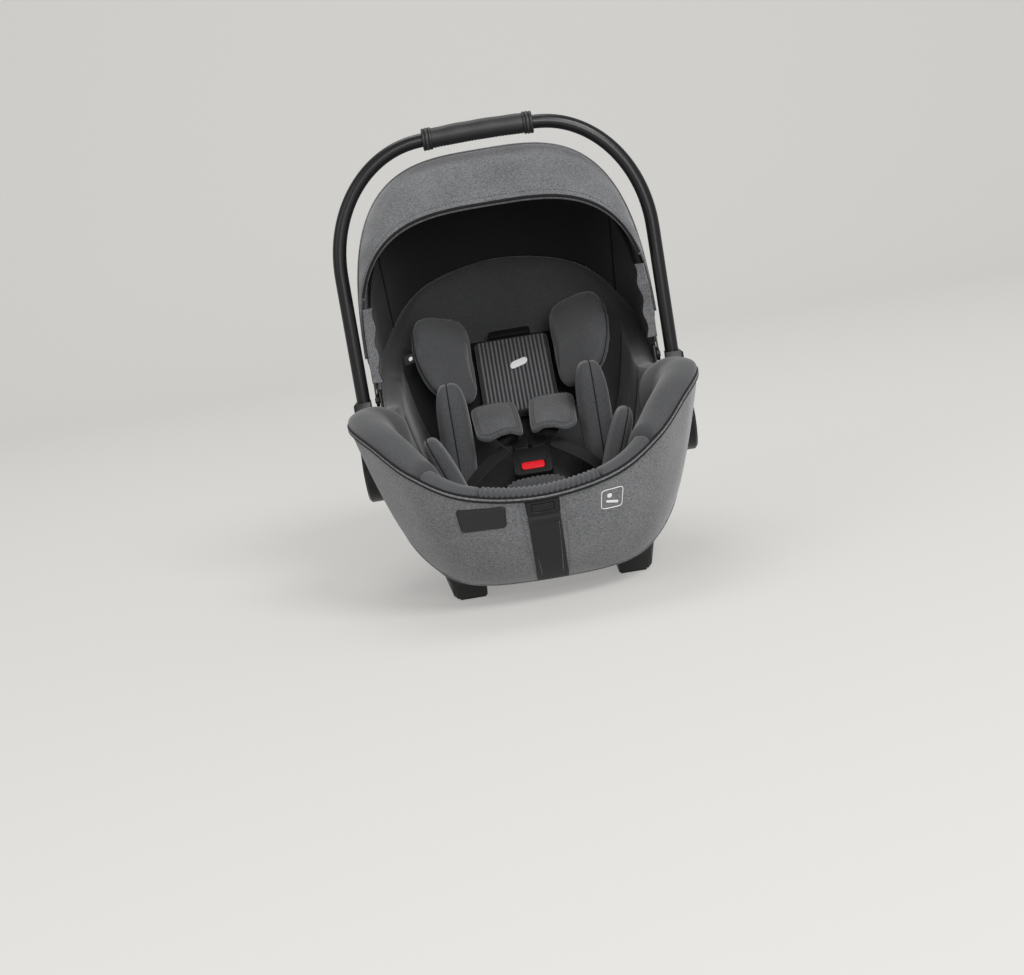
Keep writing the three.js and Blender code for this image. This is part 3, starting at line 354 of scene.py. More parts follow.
def shell_skin(u):
    """How far the face stands off its plain wall: a lip at the rim, a styling groove."""
    lip = LIP * np.exp(-((1 - u) / LIP_SHARE) ** 2)
    groove = GROOVE_DEPTH * np.exp(-((u - GROOVE_AT) / GROOVE_SHARE) ** 2)
    return lip - groove * (0.15 + 0.85 * headness(around))


outside = [lifted(outer_wall, around, u, shell_skin(u)) for u in up_wall]
inside = [lifted(outer_wall, around, u, -SHELL_WALL) for u in up_wall]
shell = grid("shell_moulding", inside + outside[::-1], around=True, material=shell_plastic)
finish_piece(crease(close_and_face_out(shell), 50), "shell", "shell_plastic", "outer_shell")

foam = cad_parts["foam_liner"]
foam_beads = moulded_plastic("foam_beads", (0.10, 0.10, 0.105), 0.85, grain=330, depth=0.0006)
foam.data.materials.clear()
foam.data.materials.append(foam_beads)


# ------------------------------------------------------------------ heather skirt
# Woven polyester in two greys, pulled over the shell's foot end and hemmed. A slot in its
# middle lets the adjuster strap out. It is sewn to the rim pads under two rows of piping.
def woven_cloth(name, dark, light, thread=1150.0, depth=0.00022, sheen=0.25, blend=0.5,
                streak=3.2):
    """Two-tone cloth: fibres mixed along both thread directions, and a fine woven relief."""
    material = plain_material(name, light, 0.92, Sheen_Weight=sheen, Sheen_Roughness=0.45,
                              Specular_IOR_Level=0.25)
    tree = material.node_tree
    place = add_node(tree, "ShaderNodeTexCoord").outputs["Object"]
    fibres = []
    for scale in ((1, 1, streak), (streak, streak, 1)):
        stretched = add_node(tree, "ShaderNodeMapping", Vector=place, Scale=scale)
        noise = add_node(tree, "ShaderNodeTexNoise", Vector=stretched.outputs[0], Scale=thread * 0.27,
                         Detail=2.5, Roughness=0.6)
        fibres.append(noise.outputs["Fac"])
    both = add_node(tree, "ShaderNodeMix", {"data_type": "FLOAT"}, Factor=0.5, at2=fibres[0],
                    at3=fibres[1])
    cloud = add_node(tree, "ShaderNodeTexNoise", Vector=place, Scale=14.0, Detail=2.0)
    mixed = add_node(tree, "ShaderNodeMath", {"operation": "MULTIPLY_ADD"}, at0=cloud.outputs["Fac"],
                     at1=0.16, at2=both.outputs[0])
    ramp = add_node(tree, "ShaderNodeValToRGB", Fac=mixed.outputs[0])
    for element, reach, tone in zip(ramp.color_ramp.elements, (-0.06, 0.22), (dark, light)):
        element.position, element.color = blend + reach, (*tone, 1)
    threads = [
        add_node(tree, "ShaderNodeTexWave", {"bands_direction": way}, Vector=place, Scale=thread / 7,
                 Distortion=1.2, Detail=1.0).outputs["Fac"]
        for way in "XZ"
    ]
    weave = add_node(tree, "ShaderNodeMath", {"operation": "MULTIPLY"}, at0=threads[0], at1=threads[1])
    to_shader(material, Base_Color=ramp.outputs["Color"])
    add_bump(material, weave.outputs[0], 0.6, depth)
    return material


heather = woven_cloth("heather_cloth", (0.056, 0.057, 0.060), (0.190, 0.192, 0.198))
SKIRT_LIFT = 0.0034
SKIRT_LOW = [0.02, 0.03, 0.07, 0.16, 0.3, 0.5, 0.74]
SKIRT_END = (len(SKIRT_LOW) - 1) / STATIONS
SLOT_HALF, SLOT_FLOOR, SLOT_WIDENS = 0.0212, 0.06, 0.83
SIDE_POINTS, SLOT_FACES = 60, 11


def skirt_hem(t):
    return np.interp(np.abs(t) * STATIONS, range(len(SKIRT_LOW)), SKIRT_LOW)


def share_at_x(x, u=1.0):
    """Where round the front of the shell its wall is x across from the middle."""
    t = np.linspace(0, 0.2, 400)
    return float(np.interp(abs(x), outer_wall(t, u)[:, 0], t)) * (1 if x >= 0 else -1)


slot_t = share_at_x(SLOT_HALF)
skirt_t = np.concatenate([np.linspace(-SKIRT_END, -slot_t, SIDE_POINTS),
                          np.linspace(-slot_t, slot_t, SLOT_FACES + 1)[1:-1],
                          np.linspace(slot_t, SKIRT_END, SIDE_POINTS)])
skirt_v = np.linspace(0, 1, 44)


def skirt_point(t, v):
    """v runs from the hem (0) to the rim (1). Faint pulls run down from the rim."""
    low = skirt_hem(t)
    pull = 0.0006 * np.sin(2 * np.pi * 23 * t + 2 * np.sin(31 * t)) * v**3
    return lifted(outer_wall, t, lerp(low, 1, v), SKIRT_LIFT + pull - 0.0016 * (1 - v) ** 14)


skirt = grid("skirt_cloth", [skirt_point(skirt_t, v) for v in skirt_v], material=heather)


def face_towards(made, way, facing):
    """Turns an open sheet so that its face furthest along one way looks in another."""
    bmesh.ops.recalc_face_normals(made, faces=made.faces)
    furthest = max(made.faces, key=lambda face: face.calc_center_median().dot(Vector(way)))
    if furthest.normal.dot(Vector(facing)) < 0:
        bmesh.ops.reverse_faces(made, faces=made.faces)


def cut_slot(made):
    """Opens the slot, one face narrower on each side below where the bezel sits."""
    made.faces.ensure_lookup_table()
    in_slot = []
    for i in range(len(skirt_v) - 1):
        up = lerp(skirt_hem(0), 1, skirt_v[i])
        if up > SLOT_FLOOR:
            spare = 0 if up > SLOT_WIDENS else 1
            for j in range(SIDE_POINTS - 1 + spare, SIDE_POINTS - 1 + SLOT_FACES - spare):
                in_slot.append(made.faces[i * (len(skirt_t) - 1) + j])
    bmesh.ops.delete(made, geom=in_slot, context="FACES")
    face_towards(made, (0, -1, 0), (0, -1, 0))


edited(skirt, cut_slot)


def line_length(points):
    return float(np.linalg.norm(np.diff(np.asarray(points), axis=0), axis=1).sum())


def thicken(piece, thickness, lining=0):
    wall = piece.modifiers.new("thickness", "SOLIDIFY")
    wall.thickness, wall.offset = thickness, -1
    wall.material_offset = lining


skirt_flat = (line_length(skirt_point(skirt_t, 0.75)),
              line_length(skirt_point(np.full(len(skirt_v), 0.05), skirt_v)))
thicken(skirt, 0.0022)
finish_piece(skirt, "shell", "heather_fabric", "front_skirt")


# ------------------------------------------------------------------ piping and hems
# Cords of bias-cut tape sewn into the seams. One tree draws any of them: a round cord
# along a line. A second tree sews a row of stitches along a line.
def new_tree(name, **inputs):
    """A tree that takes a line and named inputs, each a number or None for a material."""
    tree = bpy.data.node_groups.new(name, "GeometryNodeTree")
    tree.interface.new_socket("Line", in_out="INPUT", socket_type="NodeSocketGeometry")
    for key, default in inputs.items():
        kind = {float: "NodeSocketFloat", int: "NodeSocketInt"}.get(type(default), "NodeSocketMaterial")
        socket = tree.interface.new_socket(key, in_out="INPUT", socket_type=kind)
        if default is not None:
            socket.default_value = default
    tree.interface.new_socket("Geometry", in_out="OUTPUT", socket_type="NodeSocketGeometry")
    return tree, tree.nodes.new("NodeGroupInput"), tree.nodes.new("NodeGroupOutput")


def cord_tree():
    tree, given, result = new_tree("round_cord", Radius=0.002, Sides=10, Cord=None)
    line = add_node(tree, "GeometryNodeMeshToCurve", Mesh=given.outputs["Line"])
    section = add_node(tree, "GeometryNodeCurvePrimitiveCircle", Resolution=given.outputs["Sides"],
                       Radius=given.outputs["Radius"])
    swept = add_node(tree, "GeometryNodeCurveToMesh", Curve=line.outputs[0],
                     Profile_Curve=section.outputs[0], Fill_Caps=True)
    soft = add_node(tree, "GeometryNodeSetShadeSmooth", Geometry=swept.outputs[0])
    whole = add_node(tree, "GeometryNodeRealizeInstances", Geometry=soft.outputs[0])
    dressed = add_node(tree, "GeometryNodeSetMaterial", Geometry=whole.outputs[0],
                       Material=given.outputs["Cord"])
    tree.links.new(dressed.outputs[0], result.inputs[0])
    return tree


def stitch_tree():
    tree, given, result = new_tree("stitch_row", Pitch=0.0035, Length=0.0024, Thread=0.0004, Yarn=None)
    line = add_node(tree, "GeometryNodeMeshToCurve", Mesh=given.outputs["Line"])
    spaced = add_node(tree, "GeometryNodeResampleCurve", {"mode": "LENGTH"}, Curve=line.outputs[0],
                      Length=given.outputs["Pitch"])
    stitch = add_node(tree, "GeometryNodeMeshIcoSphere", Radius=1.0, Subdivisions=2)
    half = add_node(tree, "ShaderNodeMath", {"operation": "MULTIPLY"}, at0=given.outputs["Length"],
                    at1=0.5)
    size = add_node(tree, "ShaderNodeCombineXYZ", X=given.outputs["Thread"],
                    Y=given.outputs["Thread"], Z=half.outputs[0])
    shaped = add_node(tree, "GeometryNodeTransform", Geometry=stitch.outputs[0], Scale=size.outputs[0])
    way = add_node(tree, "GeometryNodeInputTangent")
    turn = add_node(tree, "FunctionNodeAlignRotationToVector", {"axis": "Z"}, Vector=way.outputs[0])
    sewn = add_node(tree, "GeometryNodeInstanceOnPoints", Points=spaced.outputs[0],
                    Instance=shaped.outputs[0], Rotation=turn.outputs[0])
    whole = add_node(tree, "GeometryNodeRealizeInstances", Geometry=sewn.outputs[0])
    soft = add_node(tree, "GeometryNodeSetShadeSmooth", Geometry=whole.outputs[0])
    dressed = add_node(tree, "GeometryNodeSetMaterial", Geometry=soft.outputs[0],
                       Material=given.outputs["Yarn"])
    tree.links.new(dressed.outputs[0], result.inputs[0])
    return tree


ROUND_CORD, STITCH_ROW = cord_tree(), stitch_tree()


def evaluated_mesh(piece):
    depsgraph = bpy.context.evaluated_depsgraph_get()
    return bpy.data.meshes.new_from_object(piece.evaluated_get(depsgraph))


def grown(name, lines, tree, closed=False, **inputs):
    """A plain mesh that a tree grows on one line or several."""
    vertices, edges = [], []
    for line in lines:
        first, count = len(vertices), len(line)
        vertices += [tuple(p) for p in line]
        edges += [(first + i, first + i + 1) for i in range(count - 1)]
        if closed:
            edges.append((first + count - 1, first))
    mesh = bpy.data.meshes.new(name)
    mesh.from_pydata(vertices, edges, [])
    piece = object_of(name, mesh)
    maker = piece.modifiers.new("maker", "NODES")
    maker.node_group = tree
    for item in tree.interface.items_tree:
        if item.in_out == "INPUT" and item.name in inputs:
            maker[item.identifier] = inputs[item.name]
    bpy.context.view_layer.update()
    plain = evaluated_mesh(piece)
    piece.modifiers.clear()
    piece.data = plain
    plain.name = name
    return piece


def cord(name, lines, radius, material, body, slot, closed=False, sides=10):
    """A sewn-in cord. Without a body it is left free."""
    made = grown(name, lines, ROUND_CORD, closed, Radius=radius, Sides=sides, Cord=material)
    close_and_face_out(made)
    if body:
        return finish_piece(made, body, slot)
    return made


def stitches(name, lines, material, body, slot, pitch=0.0036, length=0.0026, thread=0.00038):
    made = grown(name, lines, STITCH_ROW, Pitch=pitch, Length=length, Thread=thread, Yarn=material)
    return finish_piece(made, body, slot)


piping_cloth = woven_cloth("piping_cloth", (0.006, 0.006, 0.0065), (0.013, 0.013, 0.014),
                           sheen=0.04)
yarn = plain_material("grey_yarn", (0.10, 0.102, 0.108), 0.7)
dark_yarn = plain_material("dark_yarn", (0.03, 0.03, 0.033), 0.7)
PADS_END = 6.0
seam_t = np.linspace(-PADS_END, PADS_END, 240) / STATIONS


def beside_rim(t, out, rise):
    return rim_at(t) + outward_at(t) * out + np.array([0, 0, rise])


# Each row's name, how far out and how high it lies off the rim, and its radius.
for name, out, rise, radius, cloth, slot in (
    ("rim_piping", 0.0037, 0.0026, 0.0017, piping_cloth, "jersey"),
    ("rim_tape", 0.0042, -0.0004, 0.0013, heather, "heather_fabric"),
    ("rim_piping_lower", 0.0040, -0.0031, 0.0012, piping_cloth, "jersey"),
):
    cord(name, [beside_rim(seam_t, out, rise)], radius, cloth, "shell", slot)
hem_line = skirt_point(np.linspace(-SKIRT_END, SKIRT_END, 220), 0.0)
cord("skirt_hem", [hem_line], 0.0015, heather, "shell", "heather_fabric", sides=8)
slot_v = np.linspace((SLOT_FLOOR - SKIRT_LOW[0]) / (1 - SKIRT_LOW[0]), 0.985, 60)
NARROW_SHARE = (SLOT_FACES - 2) / SLOT_FACES
slot_lines = []
for side in (1, -1):
    widths = [1 if lerp(SKIRT_LOW[0], 1, v) > SLOT_WIDENS else NARROW_SHARE for v in slot_v]
    slot_lines.append([skirt_point(np.array(side * slot_t * width), v)
                       for width, v in zip(widths, slot_v)])
cord("slot_hems", slot_lines, 0.0011, heather, "shell", "heather_fabric", sides=8)
for side in (1, -1):
    beyond = share_at_x(side * (SLOT_HALF + 0.006))
    line = [skirt_point(np.array(beyond), v) for v in np.linspace(0.06, 0.97, 60)]
    stitches(f"slot_stitches_{'right' if side > 0 else 'left'}", [np.array(line) + [0, -0.0004, 0]], yarn,
             "shell", "heather_fabric")


# ------------------------------------------------------------------ seat cover
# Soft jersey laminated to foam, sewn from panels and clipped over the shell's rim all
# round. It lines the whole bucket, so it is the dark ground behind every cushion.
def knitted_cloth(name, dark, light, sheen=0.22):
    return woven_cloth(name, dark, light, thread=2100.0, depth=0.00012, sheen=sheen, blend=0.48,
                       streak=1.6)


jersey = knitted_cloth("jersey", (0.036, 0.0365, 0.038), (0.066, 0.067, 0.070))
COVER_THICKNESS = 0.003
SEAMS_T = (0.5 - 0.105, 0.5 + 0.105, 0.5 - 0.19, 0.5 + 0.19)
SEAM_WIDTH, SEAM_DEPTH, SEAM_LOW_END = 0.0035, 0.0030, 0.42
RIM_GIRTH = 1.55


def seam_sink(t, u):
    """How deep the panel seams sink into the cover."""
    t, u = np.broadcast_arrays(t, u)
    sunk = np.zeros(t.shape)
    for seam in SEAMS_T:
        away = (t - seam) * RIM_GIRTH * np.maximum(u, 0.15)
        sunk += SEAM_DEPTH * np.exp(-np.abs(away / SEAM_WIDTH)) * (u > SEAM_LOW_END)
    return sunk


cover_t = np.arange(264) / 264
cover_rows = [lifted(cavity, cover_t, u, seam_sink(cover_t, u))
              for u in np.concatenate([np.linspace(0.03, 0.8, 40), np.linspace(0.82, 0.99, 14)])]
behind = np.clip((np.minimum(cover_t, 1 - cover_t) * STATIONS - PADS_END) / 0.4, 0, 1)
for step in np.linspace(0, 1, 9):
    out = lerp(-RIM_BAND, lerp(-0.004, 0.0024, behind), step)
    rise = lerp(0.002, 0.0052, behind) * math.sin(math.pi * min(step + 0.12, 1)) ** 0.7
    cover_rows.append(rim_at(cover_t) + outward_at(cover_t) * out[:, None]
                      + np.stack([0 * cover_t, 0 * cover_t, rise + 0.0008], -1))
for drop in (0.003, 0.007, 0.010):
    cover_rows.append(rim_at(cover_t) + outward_at(cover_t) * lerp(-0.006, 0.0030, behind)[:, None]
                      - np.stack([0 * cover_t, 0 * cover_t, drop * behind], -1))
cover = grid("seat_cover_jersey", cover_rows, around=True, material=jersey)


def close_bottom(made):
    lowest = [e for e in made.edges
              if e.is_boundary and (e.verts[0].co.xy - Vector((0, BUM_Y))).length < 0.03]
    bmesh.ops.holes_fill(made, edges=lowest, sides=0)
    face_towards(made, (0, 0, -1), (0, 0, 1))


edited(cover, close_bottom)
thicken(cover, COVER_THICKNESS)
finish_piece(cover, "shell", "jersey", "seat_cover")
seam_threads = [lifted(cavity, seam, np.linspace(0.45, 0.985, 80), 0.0008) for seam in SEAMS_T]
cord("cover_seams", seam_threads, 0.0007, dark_yarn, "shell", "jersey", sides=6)
ELASTIC_START = PADS_END + 0.1
rear_t = np.linspace(ELASTIC_START, STATIONS - ELASTIC_START, 260) / STATIONS
cord("cover_elastic", [beside_rim(rear_t, 0.0030, -0.0098)], 0.0019, piping_cloth, "shell", "jersey")


# ------------------------------------------------------------------ rim pads
# Foam rolls in jersey on the rim: a tall pad on each wing, and one across the foot end
# whose middle is quilted into upright ribs.
# Sections across the rolls: distance out from the rim, height over it.
WING_OUTLINE = [
    (0.003, 0.002), (0.0034, 0.0075), (-0.0005, 0.0125), (-0.010, 0.0158), (-0.023, 0.0150),
    (-0.037, 0.0080), (-0.0470, -0.0040), (-0.0535, -0.020), (-0.0560, -0.038), (-0.0560, -0.058),
    (-0.0520, -0.076), (-0.0400, -0.066), (-0.0280, -0.034), (-0.018, -0.006), (-0.006, 0.001),
]
FRONT_OUTLINE = [
    (0.003, 0.0022), (0.0032, 0.0068), (-0.004, 0.0102), (-0.012, 0.0108), (-0.021, 0.0094),
    (-0.0285, 0.0030), (-0.0325, -0.008), (-0.0325, -0.020), (-0.026, -0.018), (-0.022, -0.004),
    (-0.012, 0.0012),
]
# Stations along the rim, counted from the middle of the foot end.
RIB_END, ROLL_SPLIT, WING_END = 0.80, 1.8, 6.02
RIB_PITCH, RIB_DEPTH = 0.0064, 0.0030
SEWN_END = 0.004


def end_ease(distance, soft):
    """How full a roll is near its end: nearly full where it is sewn on, else rounded off."""
    short = max(0.0, 1 - distance / soft)
    if soft <= SEWN_END:
        return math.sqrt(1 - short**2) * 0.35 + 0.65
    return math.sqrt(max(1e-4, 1 - short**2.4))


def rim_roll(name, start, end, outline, steps, ribs=0.0, soft_ends=(SEWN_END, SEWN_END)):
    """A padded roll on the rim between two stations, drawn in at its ends where it is sewn."""
    section = spline(outline, closed=True)(np.linspace(0, 1, 48, endpoint=False))
    middle = section.mean(0)
    t = np.linspace(start, end, steps) / STATIONS
    ridge = rim_at(t)
    along = np.concatenate([[0], np.cumsum(np.linalg.norm(np.diff(ridge, axis=0), axis=1))])
    rings = []
    for i in range(steps):
        ease = end_ease(along[i], soft_ends[0]) * end_ease(along[-1] - along[i], soft_ends[1])
        ring = middle + (section - middle) * ease
        if ribs:
            wave = abs(math.sin(math.pi * along[i] / RIB_PITCH)) ** 0.7
            way = (ring - middle) / np.linalg.norm(ring - middle, axis=1, keepdims=True)
            ring = ring + way * ribs * (wave - 0.6)
        out = outward_at(t[i:i + 1])[0]
        rings.append(ridge[i] + out * ring[:, :1] + np.array([0, 0, 1]) * ring[:, 1:2])
    return close_and_face_out(grid(name, rings, around=True, material=jersey))


def mirrored(piece, name):
    """A left-hand copy of a right-hand piece."""
    mesh = piece.data.copy()
    mesh.transform(Matrix.Diagonal((-1, 1, 1, 1)))
    mesh.flip_normals()
    return object_of(name, mesh)


wing = rim_roll("wing_pad_cover_right", ROLL_SPLIT + 0.03, WING_END, WING_OUTLINE, 110,
                soft_ends=(0.012, 0.040))
for piece, node in ((wing, "wing_pad_right"), (mirrored(wing, "wing_pad_cover_left"), "wing_pad_left")):
    finish_piece(piece, "shell", "jersey", node)
ribbed = rim_roll("rim_pad_ribbed", -RIB_END, RIB_END, FRONT_OUTLINE, 260, ribs=RIB_DEPTH)
finish_piece(ribbed, "shell", "jersey", "front_rim_pad")
plain = rim_roll("rim_pad_plain_right", RIB_END + 0.01, ROLL_SPLIT, FRONT_OUTLINE, 60)
for piece in (plain, mirrored(plain, "rim_pad_plain_left")):
    finish_piece(piece, "shell", "jersey")


# ------------------------------------------------------------------ cushions
# Stuffed covers: each starts as a slightly small, plain pad, is meshed evenly and blown up
# by its filling in a short cloth simulation, and gets its seams afterwards.
PRESSURE, FILLING_STEPS = 4.0, 20
SEAM_PULL, SEAM_SPREAD = 0.0009, 0.0022
POLE_GAP = 0.02


def signed_power(value, exponent):
    return np.sign(value) * np.abs(value) ** exponent


def superquadric(length, width, thickness, outline, edge, steps=(36, 22)):
    """A closed pad: length along Z, width along X, thickness along Y."""
    turn = np.linspace(-np.pi, np.pi, steps[0], endpoint=False)
    rows = []
    for tilt in np.linspace(-np.pi / 2 + POLE_GAP, np.pi / 2 - POLE_GAP, steps[1]):
        flat = signed_power(np.cos(tilt), edge)
        rows.append(np.stack([
            width / 2 * flat * signed_power(np.cos(turn), outline),
            np.full(len(turn), thickness / 2 * signed_power(np.sin(tilt), edge)),
            length / 2 * flat * signed_power(np.sin(turn), outline)], -1))
    return rows


def placing(middle, along, facing):
    """Turns local Z to lie along one way and local Y to face another."""
    z = Vector(along).normalized()
    x = Vector(facing).cross(z).normalized()
    y = z.cross(x)
    return Matrix.Translation(Vector(middle)) @ Matrix((x, y, z)).transposed().to_4x4()


def bake_modifiers(piece):
    bpy.context.view_layer.update()
    mesh = evaluated_mesh(piece)
    materials = list(piece.data.materials)
    piece.modifiers.clear()
    piece.data = mesh
    if not len(mesh.materials):
        for material in materials:
            mesh.materials.append(material)


def coordinates(piece, kind="co"):
    flat = np.zeros(len(piece.data.vertices) * 3)
    piece.data.vertices.foreach_get(kind, flat)
    return flat.reshape(-1, 3)


def reshape(piece, points):
    piece.data.vertices.foreach_set("co", np.asarray(points).ravel())
    piece.data.update()


def smooth_shaded(piece):
    piece.data.polygons.foreach_set("use_smooth", [True] * len(piece.data.polygons))


def stuffed(piece, voxel, cap, levels):
    """Fills a closed cover: an even mesh, a short simulation, a cap on how far it swells."""
    even = piece.modifiers.new("even_mesh", "REMESH")
    even.mode, even.voxel_size, even.use_smooth_shade = "VOXEL", voxel, True
    bake_modifiers(piece)
    before = coordinates(piece)
    filling = piece.modifiers.new("filling", "CLOTH")
    filling.settings.use_pressure = True
    filling.settings.uniform_pressure_force = PRESSURE
    filling.settings.effector_weights.gravity = 0
    filling.point_cache.frame_end = FILLING_STEPS
    for number in range(1, FILLING_STEPS + 1):
        scene.frame_set(number)
    bake_modifiers(piece)
    swell = coordinates(piece) - before
    size = np.linalg.norm(swell, axis=1, keepdims=True)
    reshape(piece, before + swell * np.minimum(1, cap / np.maximum(size, 1e-9)))
    scene.frame_set(1)
    finer = piece.modifiers.new("finer", "SUBSURF")
    finer.levels = finer.render_levels = levels
    bake_modifiers(piece)
    smooth_shaded(piece)


def sink_seam(piece, point, normal):
    """Draws a cushion in along the plane where its panels are sewn together."""
    points = coordinates(piece)
    away = (points - np.array(point)) @ np.array(normal)
    amount = SEAM_PULL * np.exp(-((away / SEAM_SPREAD) ** 2))
    reshape(piece, points - coordinates(piece, "normal") * amount[:, None])


def surface_line(piece, point, normal, lift=0.0):
    """The longest line in which a plane cuts a piece, moved off its surface."""
    made = bmesh.new()
    made.from_mesh(piece.data)
    geometry = made.verts[:] + made.edges[:] + made.faces[:]
    cut = bmesh.ops.bisect_plane(made, geom=geometry, plane_co=point, plane_no=normal)
    edges = dict.fromkeys(e for e in cut["geom_cut"] if isinstance(e, bmesh.types.BMEdge))
    best = []
    while edges:
        edge = edges.popitem()[0]
        chain = [edge.verts[0], edge.verts[1]]
        grew = True
        while grew:
            grew = False
            for nearby in chain[-1].link_edges:
                if nearby in edges:
                    del edges[nearby]
                    chain.append(nearby.other_vert(chain[-1]))
                    grew = True
                    break
        if len(chain) > len(best):
            best = chain
    line = np.array([v.co + v.normal * lift for v in best])
    made.free()
    return even_line(line[:-1] if np.allclose(line[0], line[-1]) else line, closed=True)


def even_line(line, spacing=0.003, closed=False, soften=3):
    """The same line in even steps, smoothed a little."""
    line = np.asarray(line, float)
    whole = np.vstack([line, line[:1]]) if closed else line
    run = np.concatenate([[0], np.cumsum(np.linalg.norm(np.diff(whole, axis=0), axis=1))])
    places = np.linspace(0, run[-1], max(8, int(run[-1] / spacing)), endpoint=not closed)
    even = np.stack([np.interp(places, run, whole[:, k]) for k in range(3)], -1)
    for _ in range(soften):
        before, after = np.roll(even, 1, axis=0), np.roll(even, -1, axis=0)
        softer = (before + 2 * even + after) / 4
        if not closed:
            softer[0], softer[-1] = even[0], even[-1]
        even = softer
    return even


def cushion(name, matrix, size, outline, edge, voxel=0.0045, cap=0.006, levels=1, shape=None):
    """A filled cover. Outline and edge run from 0, square, to 1, round; cap limits its swell."""
    length, width, thickness = size
    rows = superquadric(length, width, thickness, outline, edge)
    piece = close_and_face_out(grid(name, rows, around=True, material=jersey))
    if shape:
        reshape(piece, shape(coordinates(piece)))
    piece.data.transform(matrix)
    stuffed(piece, voxel, cap, levels)
    return piece


BACK_SLOPE = math.radians(41)
UP_BACK = Vector((0, math.cos(BACK_SLOPE), math.sin(BACK_SLOPE)))
OFF_BACK = Vector((0, -math.sin(BACK_SLOPE), math.cos(BACK_SLOPE)))
HEADREST_FOOT = Vector((0, 0.076, 0.198))


def on_headrest(across, up, out):
    return HEADREST_FOOT + Vector((across, 0, 0)) + UP_BACK * up + OFF_BACK * out


CUSHION_PIPING = 0.0009
WING_SIZE = (0.158, 0.104, 0.034)
WING_TURN = math.radians(42)
WING_ROOT, WING_SUNK, WING_LOWERED = 0.045, 0.007, 0.002
wing_span = WING_SIZE[1] * math.cos(WING_TURN) + WING_SIZE[2] * math.sin(WING_TURN)
wing_middle = on_headrest(WING_ROOT + wing_span / 2, WING_SIZE[0] / 2 - WING_LOWERED,
                          WING_SIZE[1] * math.sin(WING_TURN) / 2 - WING_SUNK + WING_SIZE[2] / 2)
wing_facing = Vector((-math.sin(WING_TURN), 0, 0)) + OFF_BACK * math.cos(WING_TURN)
wing_place = placing(wing_middle, UP_BACK, wing_facing)


def less(size, slack):
    """A cover's size before it is filled: smaller than the pad by some slack each way."""
    return tuple(whole - part for whole, part in zip(size, slack))


def cushion_pair(stem, node, body, matrix, size, outline, edge, seam_at, shape=None):
    """A right-hand cushion and its mirror image, each with a piped seam round its edge."""
    right = cushion(f"{stem}_right", matrix, size, outline, edge, shape=shape)
    normal = (matrix.to_3x3() @ Vector((0, 1, 0))).normalized()
    middle = matrix @ Vector((0, seam_at, 0))
    sink_seam(right, middle, normal)
    seam = surface_line(right, middle, normal, lift=0.0003)
    left = mirrored(right, f"{stem}_left")
    for piece, side in ((right, "right"), (left, "left")):
        finish_piece(piece, body, "jersey", f"{node}_{side}")
        line = seam if side == "right" else seam * [-1, 1, 1]
        cord(f"{stem}_piping_{side}", [line], CUSHION_PIPING, piping_cloth, body, "jersey",
             closed=True, sides=8)


def wing_shape(points):
    """Its outer side slopes at the top and narrows to the foot; its face is hollowed a little."""
    share = 2 * points[:, 2] / WING_SIZE[0]
    outer = points[:, 0] < 0
    points[:, 2] += 0.40 * points[:, 0] * np.clip(share, 0, 1)
    points[:, 0] *= np.where(outer, 1 - 0.42 * np.clip(-share, 0, 1) ** 1.6, 1)
    face = np.clip(points[:, 1] / (WING_SIZE[2] / 2), 0, 1)
    hollow = np.exp(-((points[:, 0] / 0.032) ** 2 + (points[:, 2] / 0.05) ** 2))
    points[:, 1] -= 0.003 * hollow * face
    return points


cushion_pair("headrest_wing_pad", "headrest_wing", "headrest", wing_place,
             less(WING_SIZE, (0.006, 0.006, 0.007)), 0.52, 0.5, -0.002, shape=wing_shape)

BODY_SIZE = (0.154, 0.070, 0.046)
body_place = placing((0.093, -0.004, 0.262 - BODY_SIZE[0] / 2), (0, 0, 1), (1, 0, 0))
cushion_pair("body_bolster_pad", "body_bolster", "shell", body_place,
             less(BODY_SIZE, (0.006, 0.008, 0.003)), 0.55, 0.62, 0.002)

HIP_SIZE = (0.112, 0.070, 0.030)
hip_foot, hip_top = Vector((0.088, -0.120, 0.104)), Vector((0.128, -0.120, 0.208))
hip_place = placing((hip_foot + hip_top) / 2, hip_top - hip_foot, (1, 0, -0.4))
cushion_pair("hip_bolster_pad", "hip_bolster", "shell", hip_place,
             less(HIP_SIZE, (0.006, 0.008, 0.004)), 0.55, 0.6, 0.002)

CROTCH_SIZE = (0.070, 0.088, 0.016)
CROTCH_RIB, RIBBED_HALF, RIB_FADE = 0.0024, 0.045, 0.006
crotch_foot, crotch_top = Vector((0, -0.132, 0.084)), Vector((0, -0.096, 0.124))
crotch_place = placing((crotch_foot + crotch_top) / 2, crotch_top - crotch_foot, (0, -1, 1))
crotch = cushion("crotch_pad_ribbed", crotch_place, CROTCH_SIZE, 0.62, 0.5, voxel=0.003, cap=0.003,
                 levels=2)
points = coordinates(crotch)
rib = np.abs(np.sin(np.pi * points[:, 0] / RIB_PITCH)) ** 0.7
fade = np.clip((RIBBED_HALF - np.abs(points[:, 0])) / RIB_FADE, 0, 1)
reshape(crotch, points + coordinates(crotch, "normal") * (CROTCH_RIB * (rib - 0.7) * fade)[:, None])
finish_piece(crotch, "shell", "jersey", "crotch_pad")
crotch_normal = (crotch_place.to_3x3() @ Vector((0, 1, 0))).normalized()
crotch_seam = surface_line(crotch, crotch_place.translation, crotch_normal, 0.0003)
cord("crotch_pad_piping", [crotch_seam], 0.0010, piping_cloth, "shell", "jersey", closed=True,
     sides=8)
